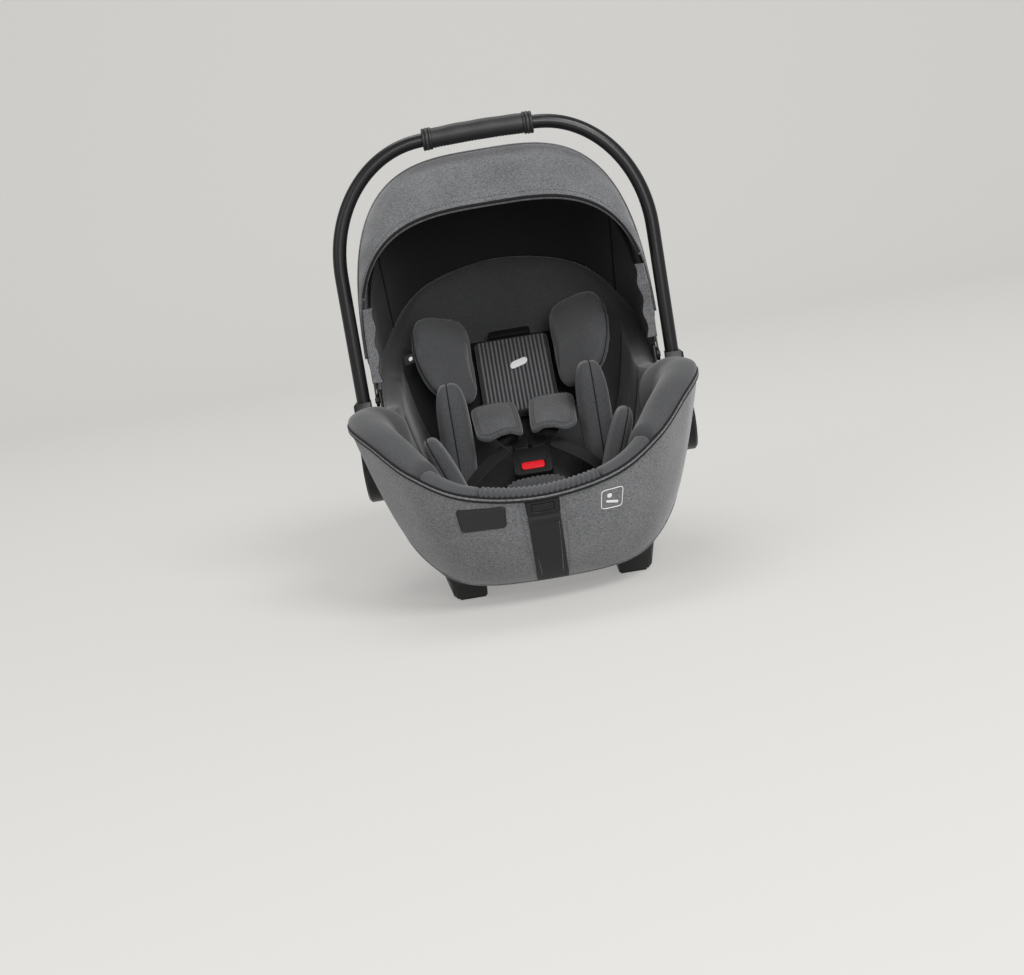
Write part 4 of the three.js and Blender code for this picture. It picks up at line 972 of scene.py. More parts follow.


# ------------------------------------------------------------------ headrest
# A board that slides up the seat's back, faced with a ribbed pad between the two wings.
# The ribs are thin piped pleats, lighter than the jersey as painted highlight, on a ground
# darker than the jersey as painted shade. A plastic pull behind its top edge frees it.
PAD_HALF, PAD_TOP, PAD_DEEP, PAD_SUNK = 0.052, 0.142, 0.014, 0.0008
PAD_CORNER, PAD_EDGE = 0.008, 0.004
PLEAT_PITCH, PLEAT_RADIUS, PLEATS_EACH_SIDE = 0.0056, 0.0014, 8


def rounded_outline(half_width, half_height, corner, count):
    """Points round a rectangle with rounded corners, a count of them at each corner."""
    outline = []
    for cx, cy, start in ((1, 1, 0), (-1, 1, 90), (-1, -1, 180), (1, -1, 270)):
        for step in range(count):
            angle = math.radians(start + 90 * step / (count - 1))
            outline.append((cx * (half_width - corner) + corner * math.cos(angle),
                            cy * (half_height - corner) + corner * math.sin(angle)))
    return np.array(outline)


outline = rounded_outline(PAD_HALF, PAD_TOP / 2, PAD_CORNER, 9)
reach = np.linalg.norm(outline, axis=1, keepdims=True)
rings = []
for angle in np.pi * np.linspace(1, 0, 9):
    inset = PAD_EDGE * (1 - abs(math.sin(angle)) ** 0.6)
    out = -PAD_DEEP + (PAD_DEEP - PAD_SUNK) * (0.5 + 0.5 * math.cos(angle))
    rings.append([on_headrest(x, PAD_TOP / 2 + y, out) for x, y in outline * (1 - inset / reach)])
# Painted shade: the ground between the pleats is a darker copy of the jersey, standing in for the shade in
# the valleys.
pleat_ground_painted_shade = knitted_cloth("pleat_ground_painted_shade", (0.012, 0.012, 0.013), (0.026, 0.026, 0.028))
pad = grid("headrest_pad_face", rings, around=True, material=pleat_ground_painted_shade)
finish_piece(crease(close_and_face_out(pad), 40), "headrest", "jersey", "headrest_pad")
pleats = []
for number in range(-PLEATS_EACH_SIDE, PLEATS_EACH_SIDE + 1):
    pleats.append([on_headrest(number * PLEAT_PITCH, up, -PAD_SUNK - 0.002 * (up / PAD_TOP < 0.03))
                   for up in np.linspace(0.002, PAD_TOP - 0.004, 40)])
# Painted highlight: the pleats are a lighter copy of the jersey, standing in for light on their ridges.
pleat_cloth_painted_highlight = knitted_cloth("pleat_cloth_painted_highlight", (0.075, 0.076, 0.079), (0.13, 0.131, 0.135))
cord("headrest_pleats", pleats, PLEAT_RADIUS, pleat_cloth_painted_highlight, "headrest", "jersey")


def bevelled_copy(node, name, material, body, slot, width, segments=2, angle=30):
    """A CAD piece with its edges softened, as a mould leaves them."""
    def merge(made):
        bmesh.ops.remove_doubles(made, verts=made.verts, dist=1e-5)
        bmesh.ops.dissolve_limit(made, angle_limit=math.radians(1.5), verts=made.verts,
                                 edges=made.edges)

    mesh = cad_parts[node].data.copy()
    mesh.materials.clear()
    piece = edited(object_of(name, mesh, material), merge)
    smooth_shaded(piece)
    soft = piece.modifiers.new("soft_edges", "BEVEL")
    soft.width, soft.segments, soft.limit_method = width, segments, "ANGLE"
    soft.angle_limit = math.radians(angle)
    bake_modifiers(piece)
    smooth_shaded(piece)
    return finish_piece(crease(piece, 28), body, slot, node)


frame_plastic = moulded_plastic("frame_plastic", (0.0075, 0.0075, 0.0080), 0.44)
bevelled_copy("headrest_core", "headrest_board", frame_plastic, "headrest", "frame_plastic", 0.0012)
bevelled_copy("headrest_release", "headrest_pull", frame_plastic, "headrest_release",
              "frame_plastic", 0.0015)


def flat_tag(name, half_width, half_height, corner, place, material, body, slot, thickness):
    """A small rounded tab, raised off what it is fixed to."""
    outline = rounded_outline(half_width, half_height, corner, 7)
    rings = []
    for share, out in ((1.0, 0.0), (1.0, 0.6), (0.97, 0.9), (0.90, 1), (0.6, 1), (0.3, 1), (0.02, 1)):
        rings.append([place(a * share, b * share, out * thickness) for a, b in outline])
    piece = close_and_face_out(grid(name, rings, around=True, material=material))
    return finish_piece(piece, body, slot)


white_print = plain_material("white_print", (0.62, 0.62, 0.61), 0.6)
TAG_AT, TAG_SLANT = (0.006, 0.088, 0.0006), 0.35
TAB_AT, TAB_SLANT, TAB_THICKNESS = (-0.1385, 0.078, 0.292), 0.25, 0.0010


def on_tag(a, b, out):
    return on_headrest(TAG_AT[0] + a, TAG_AT[1] + b + TAG_SLANT * a, TAG_AT[2] + out)


flat_tag("headrest_tag", 0.0125, 0.0065, 0.0060, on_tag, white_print, "headrest", "heather_fabric",
         0.0012)
tab_cloth = plain_material("tab_cloth", (0.008, 0.008, 0.009), 0.8)
for name, half, under, cloth in (("headrest_side_tab", (0.0095, 0.0065), 0.0, tab_cloth),
                                 ("headrest_tab_print", (0.0028, 0.0028), 0.0012, white_print)):
    def on_tab(a, b, out, under=under):
        return TAB_AT[0] + a, TAB_AT[1] - under - out, TAB_AT[2] + b + TAB_SLANT * a

    flat_tag(name, *half, 0.0027, on_tab, cloth, "headrest", "heather_fabric", TAB_THICKNESS)


# ------------------------------------------------------------------ webbing
# Polyester webbing, woven with a ridge down both edges: shoulder, lap and crotch straps in
# the seat, and the adjuster strap that comes out of the skirt's slot.
def webbing_cloth(name, color):
    material = plain_material(name, color, 0.62, Sheen_Weight=0.03, Specular_IOR_Level=0.35)
    tree = material.node_tree
    across = add_node(tree, "ShaderNodeUVMap", {"uv_map": "strap"}).outputs[0]
    scaled = add_node(tree, "ShaderNodeMapping", Vector=across, Scale=(620.0, 620.0, 1.0))
    ribs = add_node(tree, "ShaderNodeTexWave", {"bands_direction": "DIAGONAL"},
                    Vector=scaled.outputs[0], Scale=1.0, Distortion=0.6).outputs["Fac"]
    tone = add_node(tree, "ShaderNodeMix", {"data_type": "RGBA"}, Factor=ribs,
                    at6=(*[c * 0.65 for c in color], 1), at7=(*[c * 1.35 for c in color], 1))
    to_shader(material, Base_Color=tone.outputs[2])
    add_bump(material, ribs, 0.5, 0.0003)
    return material


webbing = webbing_cloth("harness_webbing", (0.0080, 0.0082, 0.0088))
STRAP_BACK = [(x, -y) for x, y in ((-1, 0.5), (-0.96, 1), (-0.85, 0.75), (-0.4, 0.75), (0, 0.75),
                                   (0.4, 0.75), (0.85, 0.75), (0.96, 1), (1, 0.5))]
STRAP_SECTION = STRAP_BACK + [(x, -y) for x, y in STRAP_BACK[::-1]]


def strap(name, line, side, width):
    """A flat strap along a line; side gives the direction of its width."""
    line = np.asarray(line, float)
    along = np.gradient(line, axis=0)
    along /= np.linalg.norm(along, axis=1, keepdims=True)
    across = np.asarray(side, float) * np.ones_like(line)
    across = across - along * np.sum(across * along, axis=1, keepdims=True)
    across /= np.linalg.norm(across, axis=1, keepdims=True)
    face = np.cross(along, across)
    section = np.array(STRAP_SECTION) * [width / 2, STRAP_THICKNESS / 2]
    rings = (line[:, None] + across[:, None] * section[None, :, :1]
             + face[:, None] * section[None, :, 1:])
    piece = grid(name, rings, around=True, material=webbing)
    run = np.concatenate([[0], np.cumsum(np.linalg.norm(np.diff(line, axis=0), axis=1))])
    layer = piece.data.uv_layers.new(name="strap")
    for loop in piece.data.loops:
        row, column = divmod(loop.vertex_index, len(section))
        layer.data[loop.index].uv = (run[row], section[column][0])
    return close_and_face_out(piece)


STRAP_WIDTH, SLIM_WIDTH, STRAP_THICKNESS = 0.030, 0.022, 0.0016
BUCKLE_MIDDLE = Vector((0, -0.062, 0.142))
BUCKLE_TILT = math.radians(52)
BUCKLE_FACE = Vector((0, -math.cos(BUCKLE_TILT), math.sin(BUCKLE_TILT)))
BUCKLE_UP = Vector((0, math.sin(BUCKLE_TILT), math.cos(BUCKLE_TILT)))


def on_buckle(across, up, out):
    return BUCKLE_MIDDLE + Vector((across, 0, 0)) + BUCKLE_UP * up + BUCKLE_FACE * out


TONGUE_TOP = 0.035
shoulder_line = spline([
    on_headrest(0.040, 0.010, 0.003), (0.040, 0.040, 0.202), (0.038, 0.0, 0.189),
    (0.030, -0.024, 0.179), on_buckle(0.013, TONGUE_TOP + 0.014, 0),
])(np.linspace(0, 1, 60))
anchor = lifted(cavity, 5.2 / STATIONS, 0.62, 0.0)
lap_end = np.array(on_buckle(0.032, TONGUE_TOP + 0.002, 0))
lap_line = spline([anchor, (anchor + lap_end) / 2 + [0, 0, 0.008], lap_end])(np.linspace(0, 1, 40))
crotch_anchor = lifted(cavity, 0.0, 0.25, 0.0)
crotch_end = np.array(on_buckle(0, -0.024, 0))
crotch_line = spline([crotch_anchor, (crotch_anchor + crotch_end) / 2 + [0, 0.003, 0], crotch_end])(
    np.linspace(0, 1, 30))
for side, word in ((1, "right"), (-1, "left")):
    flip = [side, 1, 1]
    shoulder = strap(f"shoulder_webbing_{word}", shoulder_line * flip, (1, 0, 0), SLIM_WIDTH)
    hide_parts(f"shoulder_strap_{word}")
    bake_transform(shoulder)
    lap = strap(f"lap_webbing_{word}", lap_line * flip, (0, 1, 0.6), SLIM_WIDTH)
    finish_piece(lap, "shell", "webbing", f"lap_strap_{word}")
crotch_strap = strap("crotch_webbing", crotch_line, (1, 0, 0), STRAP_WIDTH)
finish_piece(crotch_strap, "shell", "webbing", "crotch_strap")


# ------------------------------------------------------------------ shoulder pads
# Thin heather pads that slide on the shoulder straps, with two rows of stitching round
# their edges. Their lower ends have taken a wave from lying on the buckle.
PAD_SIZE, PAD_OUTLINE = (0.118, 0.062, 0.009), 0.32
pad_rise = PAD_SIZE[2] / 2 + STRAP_THICKNESS + 0.0034
pad_foot = Vector((0.035, -0.050, 0.178 + pad_rise))
pad_head = Vector((0.040, 0.058, 0.203 + pad_rise))
pad_place = placing((pad_foot + pad_head) / 2, pad_head - pad_foot, (0, -0.25, 1))


def waved(points):
    """Lower corners drop and the lower edge waves; the whole pad arches over the strap."""
    low = np.clip(-points[:, 2] / (PAD_SIZE[0] / 2), 0, 1) ** 2
    across = points[:, 0] / (PAD_SIZE[1] / 2)
    points[:, 1] += low * 0.0035 * np.sin(4.2 * across + 0.6) - 0.003 * low * across**2
    points[:, 1] -= 0.0028 * across**2
    points[:, 2] -= 0.004 * low * np.cos(3.4 * across)
    return points


def pad_path(inset, count=60):
    """A line round the pad's face, a set way in from its edge."""
    turn = np.linspace(-np.pi, np.pi, count, endpoint=False)
    return waved(np.stack([
        (PAD_SIZE[1] / 2 - inset) * signed_power(np.cos(turn), PAD_OUTLINE),
        np.full(count, PAD_SIZE[2] / 2),
        (PAD_SIZE[0] / 2 - inset) * signed_power(np.sin(turn), PAD_OUTLINE)], -1))


def place_points(points, matrix):
    return np.array([matrix @ Vector(p) for p in points])


pad_heather = woven_cloth("pad_heather", (0.036, 0.037, 0.039), (0.105, 0.106, 0.110))
pad_rows = superquadric(*less(PAD_SIZE, (0, 0, 0.001)), PAD_OUTLINE, 0.3, steps=(96, 26))
fan = pad_rows[-1]
spread = np.linspace(0.05, 1, 12)[:-1]
pad_rows = [fan * [k, -1, k] for k in spread] + pad_rows + [fan * [k, 1, k] for k in spread[::-1]]
for side, word in ((1, "right"), (-1, "left")):
    rows = [place_points(waved(row.copy()), pad_place) * [side, 1, 1] for row in pad_rows]
    piece = close_and_face_out(
        grid(f"shoulder_pad_cloth_{word}", rows, around=True, material=pad_heather))
    finish_piece(piece, "shell", "heather_fabric", f"shoulder_pad_{word}")
    lines = [place_points(pad_path(inset), pad_place) * [side, 1, 1] for inset in (0.0035, 0.0065)]
    lines = [np.vstack([line, line[:1]]) for line in lines]
    stitches(f"shoulder_pad_stitches_{word}", lines, dark_yarn, "shell", "heather_fabric", pitch=0.003,
             length=0.0021, thread=0.0003)


# ------------------------------------------------------------------ buckle
# Black glass-filled housing with a red push button. Two steel-cored tongues carry the
# shoulder and lap straps into its top.
buckle_plastic = moulded_plastic("buckle_plastic", (0.0065, 0.0065, 0.0070), 0.38, grain=3200)
red_plastic = moulded_plastic("red_plastic", (0.62, 0.008, 0.016), 0.34, grain=3400,
                              depth=0.00003)
bevelled_copy("buckle_body", "buckle_housing", buckle_plastic, "shell", "buckle_plastic", 0.0018, 3)
bevelled_copy("buckle_button", "buckle_push_button", red_plastic, "buckle_button", "buckle_red",
              0.0012, 3)
for word in ("right", "left"):
    bevelled_copy(f"buckle_tongue_{word}", f"tongue_{word}", buckle_plastic, "shell",
                  "buckle_plastic", 0.0009)


# ------------------------------------------------------------------ adjuster
# The strap that tightens the harness: it hangs down the skirt's slot from a bezel with a
# press lever, both sunk under the rim. Its top shows a fold where the webbing turns.
ADJUSTER_WIDTH, ADJUSTER_LIFT = 0.0385, 0.0034
FOLD_HEIGHT, FOLD_AT, FOLD_SHARE = 0.0022, 0.80, 0.022
adjuster_u = np.linspace(0.055, 0.855, 90)
fold = FOLD_HEIGHT * np.exp(-(((adjuster_u - FOLD_AT) / FOLD_SHARE) ** 2))
adjuster_line = lifted(outer_wall, 0.0, adjuster_u, ADJUSTER_LIFT + fold)
finish_piece(strap("adjuster_webbing", adjuster_line, (1, 0, 0), ADJUSTER_WIDTH), "shell",
             "webbing", "adjuster_strap")
bevelled_copy("adjuster_housing", "adjuster_bezel", frame_plastic, "shell", "frame_plastic", 0.0007)
bevelled_copy("adjuster_lever", "adjuster_press_lever", frame_plastic, "adjuster_lever",
              "frame_plastic", 0.0005)


# ------------------------------------------------------------------ patch and mark
# A blank leather-look patch with a sewn edge on one side of the strap, and a plain printed
# frame with a disc and a bar in it on the other.
def leather(name, color, roughness, grain=620.0, depth=0.00025):
    """Embossed synthetic leather: small pebbles with smooth tops, and slow shifts in shine."""
    material = plain_material(name, color, roughness)
    tree = material.node_tree
    place = add_node(tree, "ShaderNodeTexCoord").outputs["Object"]
    pebbles = add_node(tree, "ShaderNodeTexVoronoi", {"feature": "SMOOTH_F1"}, Vector=place,
                       Scale=grain)
    creases = add_node(tree, "ShaderNodeTexNoise", Vector=place, Scale=grain / 3, Detail=4.0)
    relief = add_node(tree, "ShaderNodeMath", {"operation": "MULTIPLY_ADD"},
                      at0=creases.outputs["Fac"], at1=0.5, at2=pebbles.outputs["Distance"])
    add_bump(material, relief.outputs[0], 0.5, depth, invert=True)
    vary_shine(material, creases.outputs["Fac"], roughness - 0.08, roughness + 0.12)
    return material


def skirt_spot(x, z):
    """Shares (t, u) of the point of the shell's wall at x across and z high."""
    u, shares = 0.8, np.linspace(0, 1, 200)
    for _ in range(12):
        t = share_at_x(x, u)
        u = float(np.interp(z, outer_wall(t, shares)[:, 2], shares))
    return t, u


def on_skirt(x, z):
    """Places (across, up, out) measured on the skirt about one of its points."""
    t, u = skirt_spot(x, z)
    e = 1e-3
    paces = np.stack([outer_wall(t + e, u) - outer_wall(t - e, u),
                      outer_wall(t, u + e) - outer_wall(t, u - e)], -1) / (2 * e)
    face = np.cross(paces[:, 0], paces[:, 1])
    level = np.cross(face, [0, 0, -1]) / np.linalg.norm(face[:2])
    rise = np.cross(face, level) / np.linalg.norm(face)
    rise *= np.sign(rise[2])
    level *= np.sign(level[0])
    shares = np.linalg.pinv(paces)

    def spot(a, b, out):
        step = shares @ (level * a + rise * b)
        return lifted(outer_wall, t + step[0], u + step[1], SKIRT_LIFT + 0.0002 + out)

    return spot


patch_leather = leather("patch_leather", (0.0065, 0.0065, 0.0068), 0.52)
PATCH_HALF, PATCH_SLANT = (0.0295, 0.0155), 0.13
patch_spot = on_skirt(-0.0745, 0.1245)


def patch_at(a, b, out):
    return patch_spot(a + PATCH_SLANT * b, b, out)


flat_tag("leather_patch", *PATCH_HALF, 0.004, patch_at, patch_leather, "shell", "grip_leather", 0.0016)


def rounded_loop(half_width, half_height, corner, place, out):
    line = [place(a, b, out) for a, b in rounded_outline(half_width, half_height, corner, 10)]
    return even_line(line, 0.0012, closed=True, soften=1)


def patch_loop(inset, corner, out):
    return rounded_loop(PATCH_HALF[0] - inset, PATCH_HALF[1] - inset, corner, patch_at, out)


patch_seam = patch_loop(0.0028, 0.003, 0.0017)
cord("patch_raised_edge", [patch_loop(0.0008, 0.0038, 0.0013)], 0.0008, patch_leather, "shell",
     "grip_leather", closed=True, sides=8)
stitches("patch_stitches", [np.vstack([patch_seam, patch_seam[:1]])], dark_yarn, "shell",
         "grip_leather", pitch=0.0028, length=0.002, thread=0.0003)
MARK_STEP, MARK_DISC_IN, BAR_SLANT = 0.0045, 0.0040, 0.2
mark_at = on_skirt(0.0820, 0.1240)
cord("mark_frame", [rounded_loop(0.0135, 0.0130, 0.004, mark_at, 0.0003)], 0.0006, white_print,
     "shell", "heather_fabric", closed=True, sides=8)
flat_tag("mark_disc", 0.0030, 0.0030, 0.0029,
         lambda a, b, out: mark_at(a - MARK_DISC_IN, b + MARK_STEP, out),
         white_print, "shell", "heather_fabric", 0.0005)
flat_tag("mark_bar", 0.0080, 0.0017, 0.0016,
         lambda a, b, out: mark_at(a, b - MARK_STEP - BAR_SLANT * a, out),
         white_print, "shell", "heather_fabric", 0.0005)


# ------------------------------------------------------------------ runners and underside
# Two rocker runners with rubber pads under their feet, the two steel bars that a car base
# latches on, and the hubs and steel pins on the shell's sides that carry the handle.
rubber = moulded_plastic("foot_rubber", (0.012, 0.012, 0.012), 0.75, grain=1500)
steel = plain_material("bar_steel", (0.5, 0.5, 0.51), 0.32, Metallic=1.0)
for word in ("right", "left"):
    bevelled_copy(f"runner_{word}", f"runner_moulding_{word}", shell_plastic, "shell",
                  "shell_plastic", 0.0035, 4)
    for end in ("front", "rear"):
        bevelled_copy(f"{end}_foot_pad_{word}", f"{end}_foot_rubber_{word}", rubber, "shell",
                      "foot_rubber", 0.0008)
    bevelled_copy(f"pivot_pin_{word}", f"pivot_{word}", steel, "shell", "bar_steel", 0.0006)
    bevelled_copy(f"hub_housing_{word}", f"hub_{word}", shell_plastic, "shell", "shell_plastic", 0.0015, 3)
for end in ("front", "rear"):
    bevelled_copy(f"{end}_lock_bar", f"{end}_bar", steel, "shell", "bar_steel", 0.0006)


# ------------------------------------------------------------------ handle
# A bent aluminium tube, powder-coated satin black, in two moulded ends with a round
# unlock button each. Its middle is wrapped in sewn synthetic leather between two cuffs.
HANDLE_Y = 0.008
HANDLE_TOP, HANDLE_HALF, TUBE_RADIUS = 0.5775, 0.2065, 0.009
CROWN_HALF, CROWN_DROP, CORNER_HEIGHT = 0.072, 0.002, 0.160
handle_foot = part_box("handle_tube")[0]


def crown_point(x):
    return Vector((x, HANDLE_Y, HANDLE_TOP - CROWN_DROP * (x / CROWN_HALF) ** 2))


def handle_line():
    corner_z, corner_width = HANDLE_TOP - CORNER_HEIGHT, HANDLE_HALF - CROWN_HALF
    right = [(HANDLE_HALF, HANDLE_Y, z) for z in np.linspace(handle_foot.z, corner_z - 0.06, 14)]
    for angle in np.linspace(0, np.pi / 2, 40)[:-1]:
        right.append((CROWN_HALF + corner_width * math.cos(angle), HANDLE_Y,
                      corner_z + (CORNER_HEIGHT - CROWN_DROP) * math.sin(angle)))
    for x in np.linspace(CROWN_HALF, 0, 12):
        right.append(tuple(crown_point(x)))
    return np.array(right + [(-x, y, z) for x, y, z in right[-2::-1]])


handle_metal = moulded_plastic("handle_coating", (0.0040, 0.0041, 0.0043), 0.33, grain=4200,
                               depth=0.00003, coat=0.12)
tube = cord("handle_tube_coated", [even_line(handle_line(), 0.004, soften=6)], TUBE_RADIUS,
            handle_metal, "handle", "handle_metal", sides=40)
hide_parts("handle_tube")


def crown_sleeve(name, profile, node):
    """A wrapped sleeve round the handle's crown: (x, radius) pairs give its profile."""
    turns = np.linspace(0, 2 * np.pi, 48, endpoint=False)
    rings = []
    for x, radius in profile:
        here = crown_point(x)
        rings.append([(here.x, here.y + radius * math.cos(a), here.z + radius * math.sin(a))
                      for a in turns])
    piece = close_and_face_out(grid(name, rings, around=True, material=grip_leather))
    finish_piece(crease(piece, 40), "handle", "grip_leather", node)


grip_leather = leather("grip_leather", (0.0055, 0.0055, 0.0058), 0.48)
GRIP_REACH, SLEEVE_RADIUS, SLEEVE_INNER = 0.0596, 0.01275, 0.0096
sleeve_x = np.linspace(-GRIP_REACH, GRIP_REACH, 60)
sleeve = [(x, SLEEVE_RADIUS + 0.0002 * math.sin(160 * x) + 0.0003 * math.cos(26 * x))
          for x in sleeve_x]
sleeve = [(-GRIP_REACH, SLEEVE_INNER)] + sleeve + [(GRIP_REACH, SLEEVE_INNER)]
crown_sleeve("grip_leather_sleeve", sleeve, "grip_sleeve")
CUFF_PROFILE = [
    (0.0, 0.0098), (0.0, 0.0133), (0.0006, 0.0142), (0.0020, 0.0146), (0.0032, 0.0143),
    (0.0038, 0.0136), (0.0044, 0.0142), (0.0056, 0.0145), (0.0070, 0.0145), (0.0082, 0.0142),
    (0.0088, 0.0136), (0.0094, 0.0143), (0.0108, 0.0146), (0.0122, 0.0141), (0.0128, 0.0128),
    (0.0128, 0.0098),
]
CUFF_GAP, CUFF_SEAM_AT, CUFF_SEAM_RADIUS = 0.0001, 0.0063, 0.01465
for side, word in ((1, "right"), (-1, "left")):
    profile = [(side * (GRIP_REACH + CUFF_GAP + x), radius) for x, radius in CUFF_PROFILE]
    crown_sleeve(f"grip_cuff_leather_{word}", profile, f"grip_cuff_{word}")
    ring = [crown_point(side * (GRIP_REACH + CUFF_SEAM_AT))
            + CUFF_SEAM_RADIUS * Vector((0, math.cos(a), math.sin(a)))
            for a in np.linspace(0, 2 * np.pi, 40)]
    stitches(f"grip_cuff_stitches_{word}", [ring], yarn, "handle", "grip_leather", pitch=0.0032,
             length=0.0022)
seam = [crown_point(x) - Vector((0, 0, SLEEVE_RADIUS + 0.0003))
        for x in np.linspace(-GRIP_REACH + 0.003, GRIP_REACH - 0.003, 40)]
stitches("grip_seam_stitches", [seam], dark_yarn, "handle", "grip_leather", pitch=0.004,
         length=0.003)

end_plastic = moulded_plastic("end_plastic", (0.0045, 0.0045, 0.0048), 0.38, coat=0.06)
for word in ("right", "left"):
    bevelled_copy(f"handle_end_{word}", f"handle_end_cover_{word}", end_plastic, "handle", "handle_plastic",
                  0.0016, 3, angle=24)
    bevelled_copy(f"handle_button_{word}", f"unlock_button_{word}", end_plastic, f"handle_button_{word}",
                  "handle_plastic", 0.0009, 3)


# ------------------------------------------------------------------ canopy
# Two flat bows on side mounts carry heather cloth with a dark lining. The visor is sewn to
# the hood along the front bow and has a piped front edge. The hood meets the shell's rim.
CANOPY_Y, CANOPY_Z = 0.014, 0.250
CANOPY_HALF, CANOPY_REACH, SQUARENESS = 0.192, 0.302, 3.3
CREST_TILT, VISOR_TILT, VISOR_REACH = 7.0, -11.0, 0.236
CANOPY_START, VISOR_TIP = 0.075, 0.235
CLOTH, PUCKER = 0.0022, 0.0010
HOOD_STATION, HOOD_BULGE, HOOD_SAG, HOOD_FOLDS = 7.35, 0.030, 0.0045, 0.0016
MID_BOW = 0.36
TUCK_DOWN, TUCK_IN = 0.0095, 0.0015


def arch_point(angle, tilt, reach, half_width):
    """A point on a squarish arch that leans forwards or back by its tilt, in degrees."""
    across = signed_power(np.cos(angle), 2 / SQUARENESS)
    radius = reach * np.abs(np.sin(angle)) ** (2 / SQUARENESS)
    tilt = np.radians(tilt)
    return np.stack(np.broadcast_arrays(half_width * across, CANOPY_Y + radius * np.sin(tilt),
                                        CANOPY_Z + radius * np.cos(tilt)), -1)


def arch_angle(share):
    eased = np.where(share < 0.5, 0.5 * (2 * share) ** 1.7, 1 - 0.5 * (2 - 2 * share) ** 1.7)
    return np.pi * eased


def visor_point(s, v, lift):
    """v runs from the crest (0) to the front edge (1)."""
    tip = lerp(CANOPY_START, VISOR_TIP, v)
    angle = arch_angle(lerp(tip, 1 - tip, s))
    reach = lerp(CANOPY_REACH, VISOR_REACH, v**1.25) + lift
    pucker = PUCKER * np.sin(46 * s + 3 * np.sin(9 * s)) * np.sin(np.pi * v)
    pucker = pucker * (0.4 + 1.2 * np.abs(s - 0.5))
    return arch_point(angle, lerp(CREST_TILT + 0.5, VISOR_TILT, v), reach + pucker,
                      CANOPY_HALF + lift + pucker)


def hood_point(s, v, lift):
    """v runs from the crest (0) to the rim (1), over which the cloth is tucked in."""
    share = lerp(CANOPY_START, 1 - CANOPY_START, s)
    crest = arch_point(arch_angle(share), CREST_TILT + 0.1, CANOPY_REACH + lift - 0.0012,
                       CANOPY_HALF + lift - 0.0008)
    t = lerp(HOOD_STATION, STATIONS - HOOD_STATION, s) / STATIONS
    low = rim_at(t) + outward_at(t) * (0.0045 + lift) + np.array([0, 0, -0.0015])
    tuck = np.array([0, 0, -TUCK_DOWN]) - TUCK_IN * outward_at(t)
    bulge = HOOD_BULGE * np.sin(np.pi * v) * np.maximum(np.sin(np.pi * s), 0) ** 0.8
    before_bow = np.sin(np.pi * v / MID_BOW) ** 2
    behind_bow = 0.8 * np.sin(np.pi * (v - MID_BOW) / (1 - MID_BOW)) ** 2
    sag = HOOD_SAG * np.where(v < MID_BOW, before_bow, behind_bow) * np.sin(np.pi * s)
    folds = HOOD_FOLDS * np.sin(2 * np.pi * 5.5 * v + 2.5 * np.cos(2 * np.pi * s))
    move = bulge - sag + folds * np.abs(2 * s - 1) ** 3
    v = np.asarray(v, float)[..., None]
    return lerp(crest, low, v) + move[..., None] * np.array([0, 0.35, 0.94]) + v**12 * tuck


lining = knitted_cloth("canopy_lining", (0.010, 0.010, 0.011), (0.024, 0.024, 0.026), sheen=0.15)
across_s = np.linspace(0, 1, 150)


def canopy_cloth(name, surface, rows, node):
    """A lined sheet on the bows. Its flat size is measured along its own lines."""
    v = np.linspace(0, 1, rows)
    piece = grid(name, [surface(across_s, np.full(len(across_s), share), CLOTH) for share in v],
                 material=heather)
    piece.data.materials.append(lining)
    edited(piece, lambda made: face_towards(made, (0, 0, 1), (0, 0, 1)))
    flat = (line_length(surface(across_s, np.full(len(across_s), 0.3), CLOTH)),
            line_length(surface(np.full(rows, 0.5), v, CLOTH)))
    thicken(piece, CLOTH, lining=1)
    bake_modifiers(piece)
    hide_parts(node)
    return piece


visor = canopy_cloth("visor_cloth", visor_point, 30, "canopy_visor")
hood = canopy_cloth("hood_cloth", hood_point, 50, "canopy_hood")
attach(visor, "canopy_front")
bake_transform(hood)
front_edge = visor_point(across_s, np.full(len(across_s), 1.0), CLOTH / 2)
crest_edge = visor_point(across_s, np.full(len(across_s), 0.0), CLOTH + 0.0004)
cord("visor_edge_piping", [front_edge], 0.0019, piping_cloth, "canopy_front", "heather_fabric")
cord("visor_edge_tape", [front_edge + [0, 0.0014, -0.0030]], 0.0016, pad_heather, "canopy_front",
     "heather_fabric", sides=8)
cord("crest_seam", [crest_edge], 0.0016, heather, "canopy_front", "heather_fabric", sides=8)
hem_stitch = visor_point(across_s, np.full(len(across_s), 0.93), CLOTH + 0.0002)
stitches("visor_stitches", [hem_stitch], dark_yarn, "canopy_front", "heather_fabric",
         pitch=0.004, length=0.0028)
rim_hem = hood_point(lerp(0.01, 0.99, across_s), np.full(len(across_s), 0.995), CLOTH * 0.6)
cord("hood_hem", [rim_hem], 0.0018, piping_cloth, "shell", "heather_fabric")
HANG_POINTS, HANG_WIDTH, HANG_FULLNESS = 70, 0.0125, 1.15
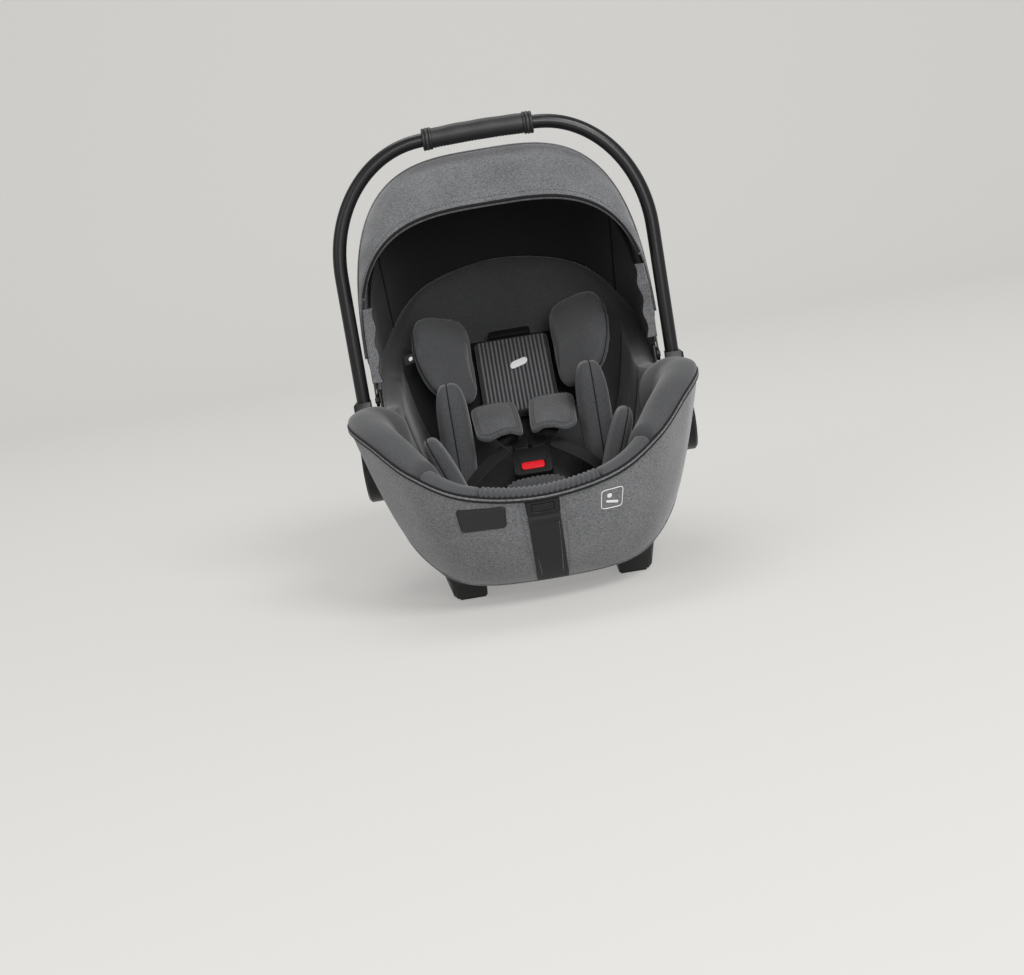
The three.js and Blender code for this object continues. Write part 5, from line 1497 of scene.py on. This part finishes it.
SCALLOP, SCALLOPS = 0.0018, 2.6
hang = np.linspace(0.036, VISOR_TIP - 0.055, HANG_POINTS)
rows = []
for c in np.linspace(0, 1, 12):
    edge = arch_point(arch_angle(hang), lerp(-5.0, -1.0, c), 0.268, CANOPY_HALF - 0.001)
    turn = 2 * np.pi * SCALLOPS * np.linspace(0, 1, HANG_POINTS)
    scallop = SCALLOP * np.sin(turn + 0.5 + 1.7 * c)
    edge[:, 0] -= (HANG_WIDTH + scallop) * c
    edge[:, 1] += 0.5 * scallop
    rows.append(edge)
for side, word in ((1, "right"), (-1, "left")):
    fold_rows = np.array(rows) * [side, 1, 1]
    piece = grid(f"canopy_side_fold_{word}", fold_rows, material=heather)
    thicken(piece, 0.0012)
    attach(piece, "canopy_front")
    cord(f"canopy_fold_edge_{word}", [fold_rows[-1]], 0.0011, piping_cloth, "canopy_front",
         "heather_fabric", sides=8)
for s_at, name in ((0.28, "lining_seam_left"), (0.72, "lining_seam_right")):
    seam_line = hood_point(np.full(60, s_at), np.linspace(0.02, 0.98, 60), -0.0012)
    seam = cord(name, [seam_line], 0.0010, piping_cloth, None, "heather_fabric", sides=6)
    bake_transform(seam)
canopy_plastic = moulded_plastic("canopy_plastic", (0.0075, 0.0075, 0.0080), 0.42)
bevelled_copy("canopy_front_bow", "front_bow", canopy_plastic, "canopy_front", "frame_plastic", 0.0004)
bevelled_copy("canopy_mid_bow", "middle_bow", canopy_plastic, "canopy_mid", "frame_plastic", 0.0004)
for word in ("right", "left"):
    bevelled_copy(f"canopy_mount_{word}", f"canopy_side_mount_{word}", canopy_plastic, "shell",
                  "frame_plastic", 0.0008)


# ------------------------------------------------------------------ base release
# A frame on the back of the shell, with a pull grip in it that frees the seat from its base.
# Both are moulded in the shell's and the frame's black plastics.
bevelled_copy("release_housing", "release_frame", shell_plastic, "shell", "shell_plastic", 0.0016, 3)
bevelled_copy("release_grip", "release_pull_grip", frame_plastic, "release_grip", "frame_plastic", 0.0025, 3)
